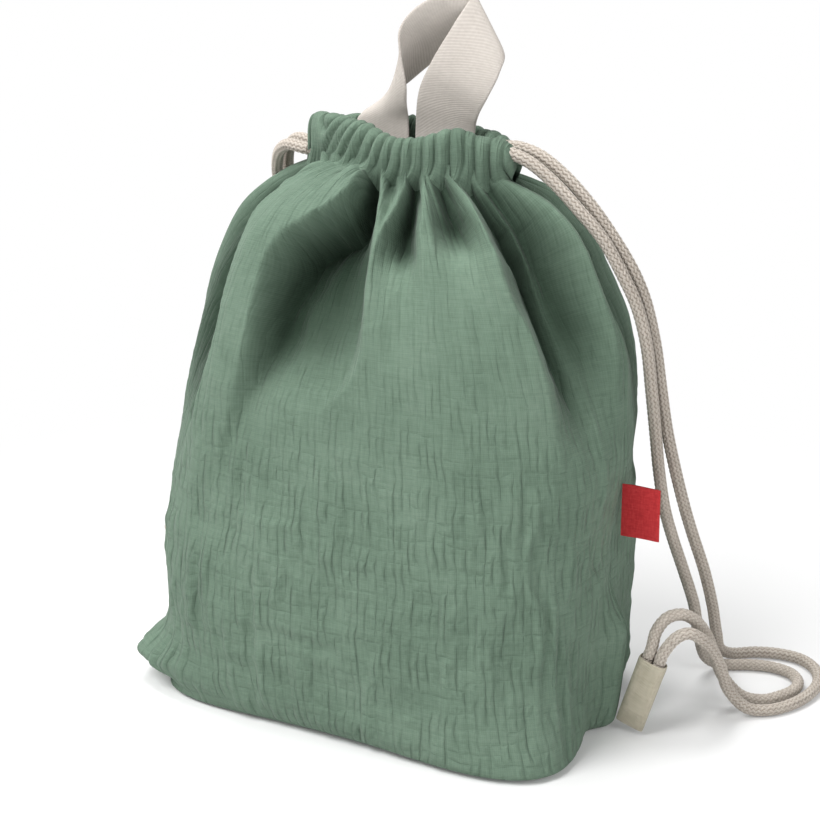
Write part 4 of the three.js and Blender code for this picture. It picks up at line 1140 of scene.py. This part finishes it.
def tab(name, side):
    """A folded sleeve of twill tape and the two cord ends in it."""
    mouth, up, out = tab_frame(side)
    phi = np.arange(TAB_SIDES) * 2 * np.pi / TAB_SIDES
    wide, thick = (rounded(wave(phi), power) for wave, power in zip((np.cos, np.sin), TAB_SQUARENESS))
    rings = []
    for depth, width, thickness in TAB_RINGS:
        w = wide * TAB_WIDTH / 2 * width
        n = thick * TAB_THICKNESS / 2 * thickness
        rings.append(mouth - up * depth + w[:, None] * out + n[:, None] * np.array((0, 1, 0)))
    rings = np.array(rings)
    place = arc_lengths(rings[:, 0])
    fine = np.linspace(0, place[-1], TAB_ROWS)
    points = np.empty((TAB_ROWS, TAB_SIDES, 3))
    for k in range(TAB_SIDES):
        for axis in range(3):
            points[:, k, axis] = np.interp(fine, place, rings[:, k, axis])
    u, v = np.meshgrid(phi * TAB_CLOTH_RADIUS, fine)
    obj = grid_object(name + "_tape", points, (u, v), ring=True)
    dress(obj, tab_twill, "twill", name + "_tab")
    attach(obj, name + "_tab")
    for end, offset in HALVES.items():
        start = mouth + out * offset * CORD_END_OFFSET
        stub = smooth_path([start - up * depth for depth in CORD_END_DEPTHS], CORD_RING_STEP)
        piece = braided_cord(f"{name}_cord_end_{end}", stub)
        dress(piece, cord_cotton, "cord", f"{name}_end_{end}")
        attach(piece, name + "_tab")


tab("right", 1)
tab("left", -1)


# Label
def label():
    """Two layers of ribbon, folded at the free edge and pinched in the right side seam."""
    low, high = (np.array(c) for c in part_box("side_label"))
    reach, height = high[0] - low[0], high[2] - low[2]
    fold = np.linspace(0, 1, LABEL_STEPS[0])
    from_fold = np.abs(2 * fold - 1)
    x = reach * (1 - from_fold)
    clear = smooth(x / reach, 0, LABEL_PINCH)
    layer = np.sign(0.5 - fold) * np.minimum(1, from_fold * LABEL_FOLD_SHARPNESS) * LABEL_HALF_THICKNESS
    layer = layer * (LABEL_PINCHED + (1 - LABEL_PINCHED) * clear)
    z = np.linspace(low[2], high[2], LABEL_STEPS[1])
    along, up = LABEL_WAVE_TURNS
    wave = LABEL_WAVE * clear * np.sin(along * (x / reach)[None, :] + up * ((z - low[2]) / height)[:, None])
    points = np.stack(np.broadcast_arrays(low[0] + x[None, :], layer[None, :] + wave, z[:, None]), axis=-1)
    u, v = np.meshgrid(reach * 2 * fold, z)
    obj = grid_object("woven_label", points, (u, v), flip=True)
    dress(obj, red_weave, "red_weave", "side_label")
    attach(obj, "side_label")


label()


# Floor, and distances over which the object's shadow fades into white
FLOOR_HALF = 12
FLOOR_GREY = 0.8
SHADOW_FADE = (0.12, 0.5, 0.1, 1)

# Lamps: place, target, size and power
LAMPS = {
    "key": ((-0.55, -1.1, 1.7), (0, 0, 0.12), 1.3, 44),
    "top": ((-0.4, 0.2, 1.9), (0, 0, 0.15), 0.9, 21),
    "fill": ((1.5, -0.6, 1.0), (0, 0, 0.15), 1.0, 10),
}

# Light from all round, and how much brighter it looks to the camera
WORLD_LIGHT = 0.3
WORLD_SEEN_MORE = 0.7


def floor():
    """A grey floor that keeps the shadow near the object and turns white further away."""
    ends = (-FLOOR_HALF, FLOOR_HALF)
    obj = grid_object("floor", np.array([[(x, y, 0) for x in ends] for y in ends], float))
    material, tree = new_material("floor")
    tree.nodes.remove(tree.nodes["Principled BSDF"])
    diffuse = add_node(tree, "BsdfDiffuse", {"Color": (FLOOR_GREY, FLOOR_GREY, FLOOR_GREY, 1)})
    glow = add_node(tree, "Emission", {"Strength": 1.0})
    seen = add_node(tree, "LightPath", {}).outputs["Is Camera Ray"]
    away = add_node(tree, "VectorMath", {0: add_node(tree, "TexCoord", {}).outputs["Object"]})
    away.operation = "LENGTH"
    spread = ranged(tree, away.outputs["Value"], *SHADOW_FADE)
    spread.node.interpolation_type = "SMOOTHSTEP"
    white = math_node(tree, "MULTIPLY", seen, spread)
    mix = add_node(tree, "MixShader", {0: white, 1: diffuse.outputs[0], 2: glow.outputs[0]})
    set_inputs(tree, tree.nodes["Material Output"], {"Surface": mix.outputs[0]})
    obj.data.materials.append(material)


def lamp(name, place, target, size, power):
    """A round area lamp."""
    data = bpy.data.lights.new(name, "AREA")
    data.shape = "DISK"
    data.size = size
    data.energy = power
    aimed(name, data, place, target)


floor()
for lamp_name, settings in LAMPS.items():
    lamp(lamp_name, *settings)
world = bpy.data.worlds.new("world")
world.use_nodes = True
bpy.context.scene.world = world
world_tree = world.node_tree
seen = add_node(world_tree, "LightPath", {}).outputs["Is Camera Ray"]
seen_more = math_node(world_tree, "MULTIPLY", seen, WORLD_SEEN_MORE)
strength = math_node(world_tree, "ADD", seen_more, WORLD_LIGHT)
set_inputs(world_tree, world_tree.nodes["Background"], {"Color": (1, 1, 1, 1), "Strength": strength})
bpy.context.scene.view_settings.view_transform = "Standard"
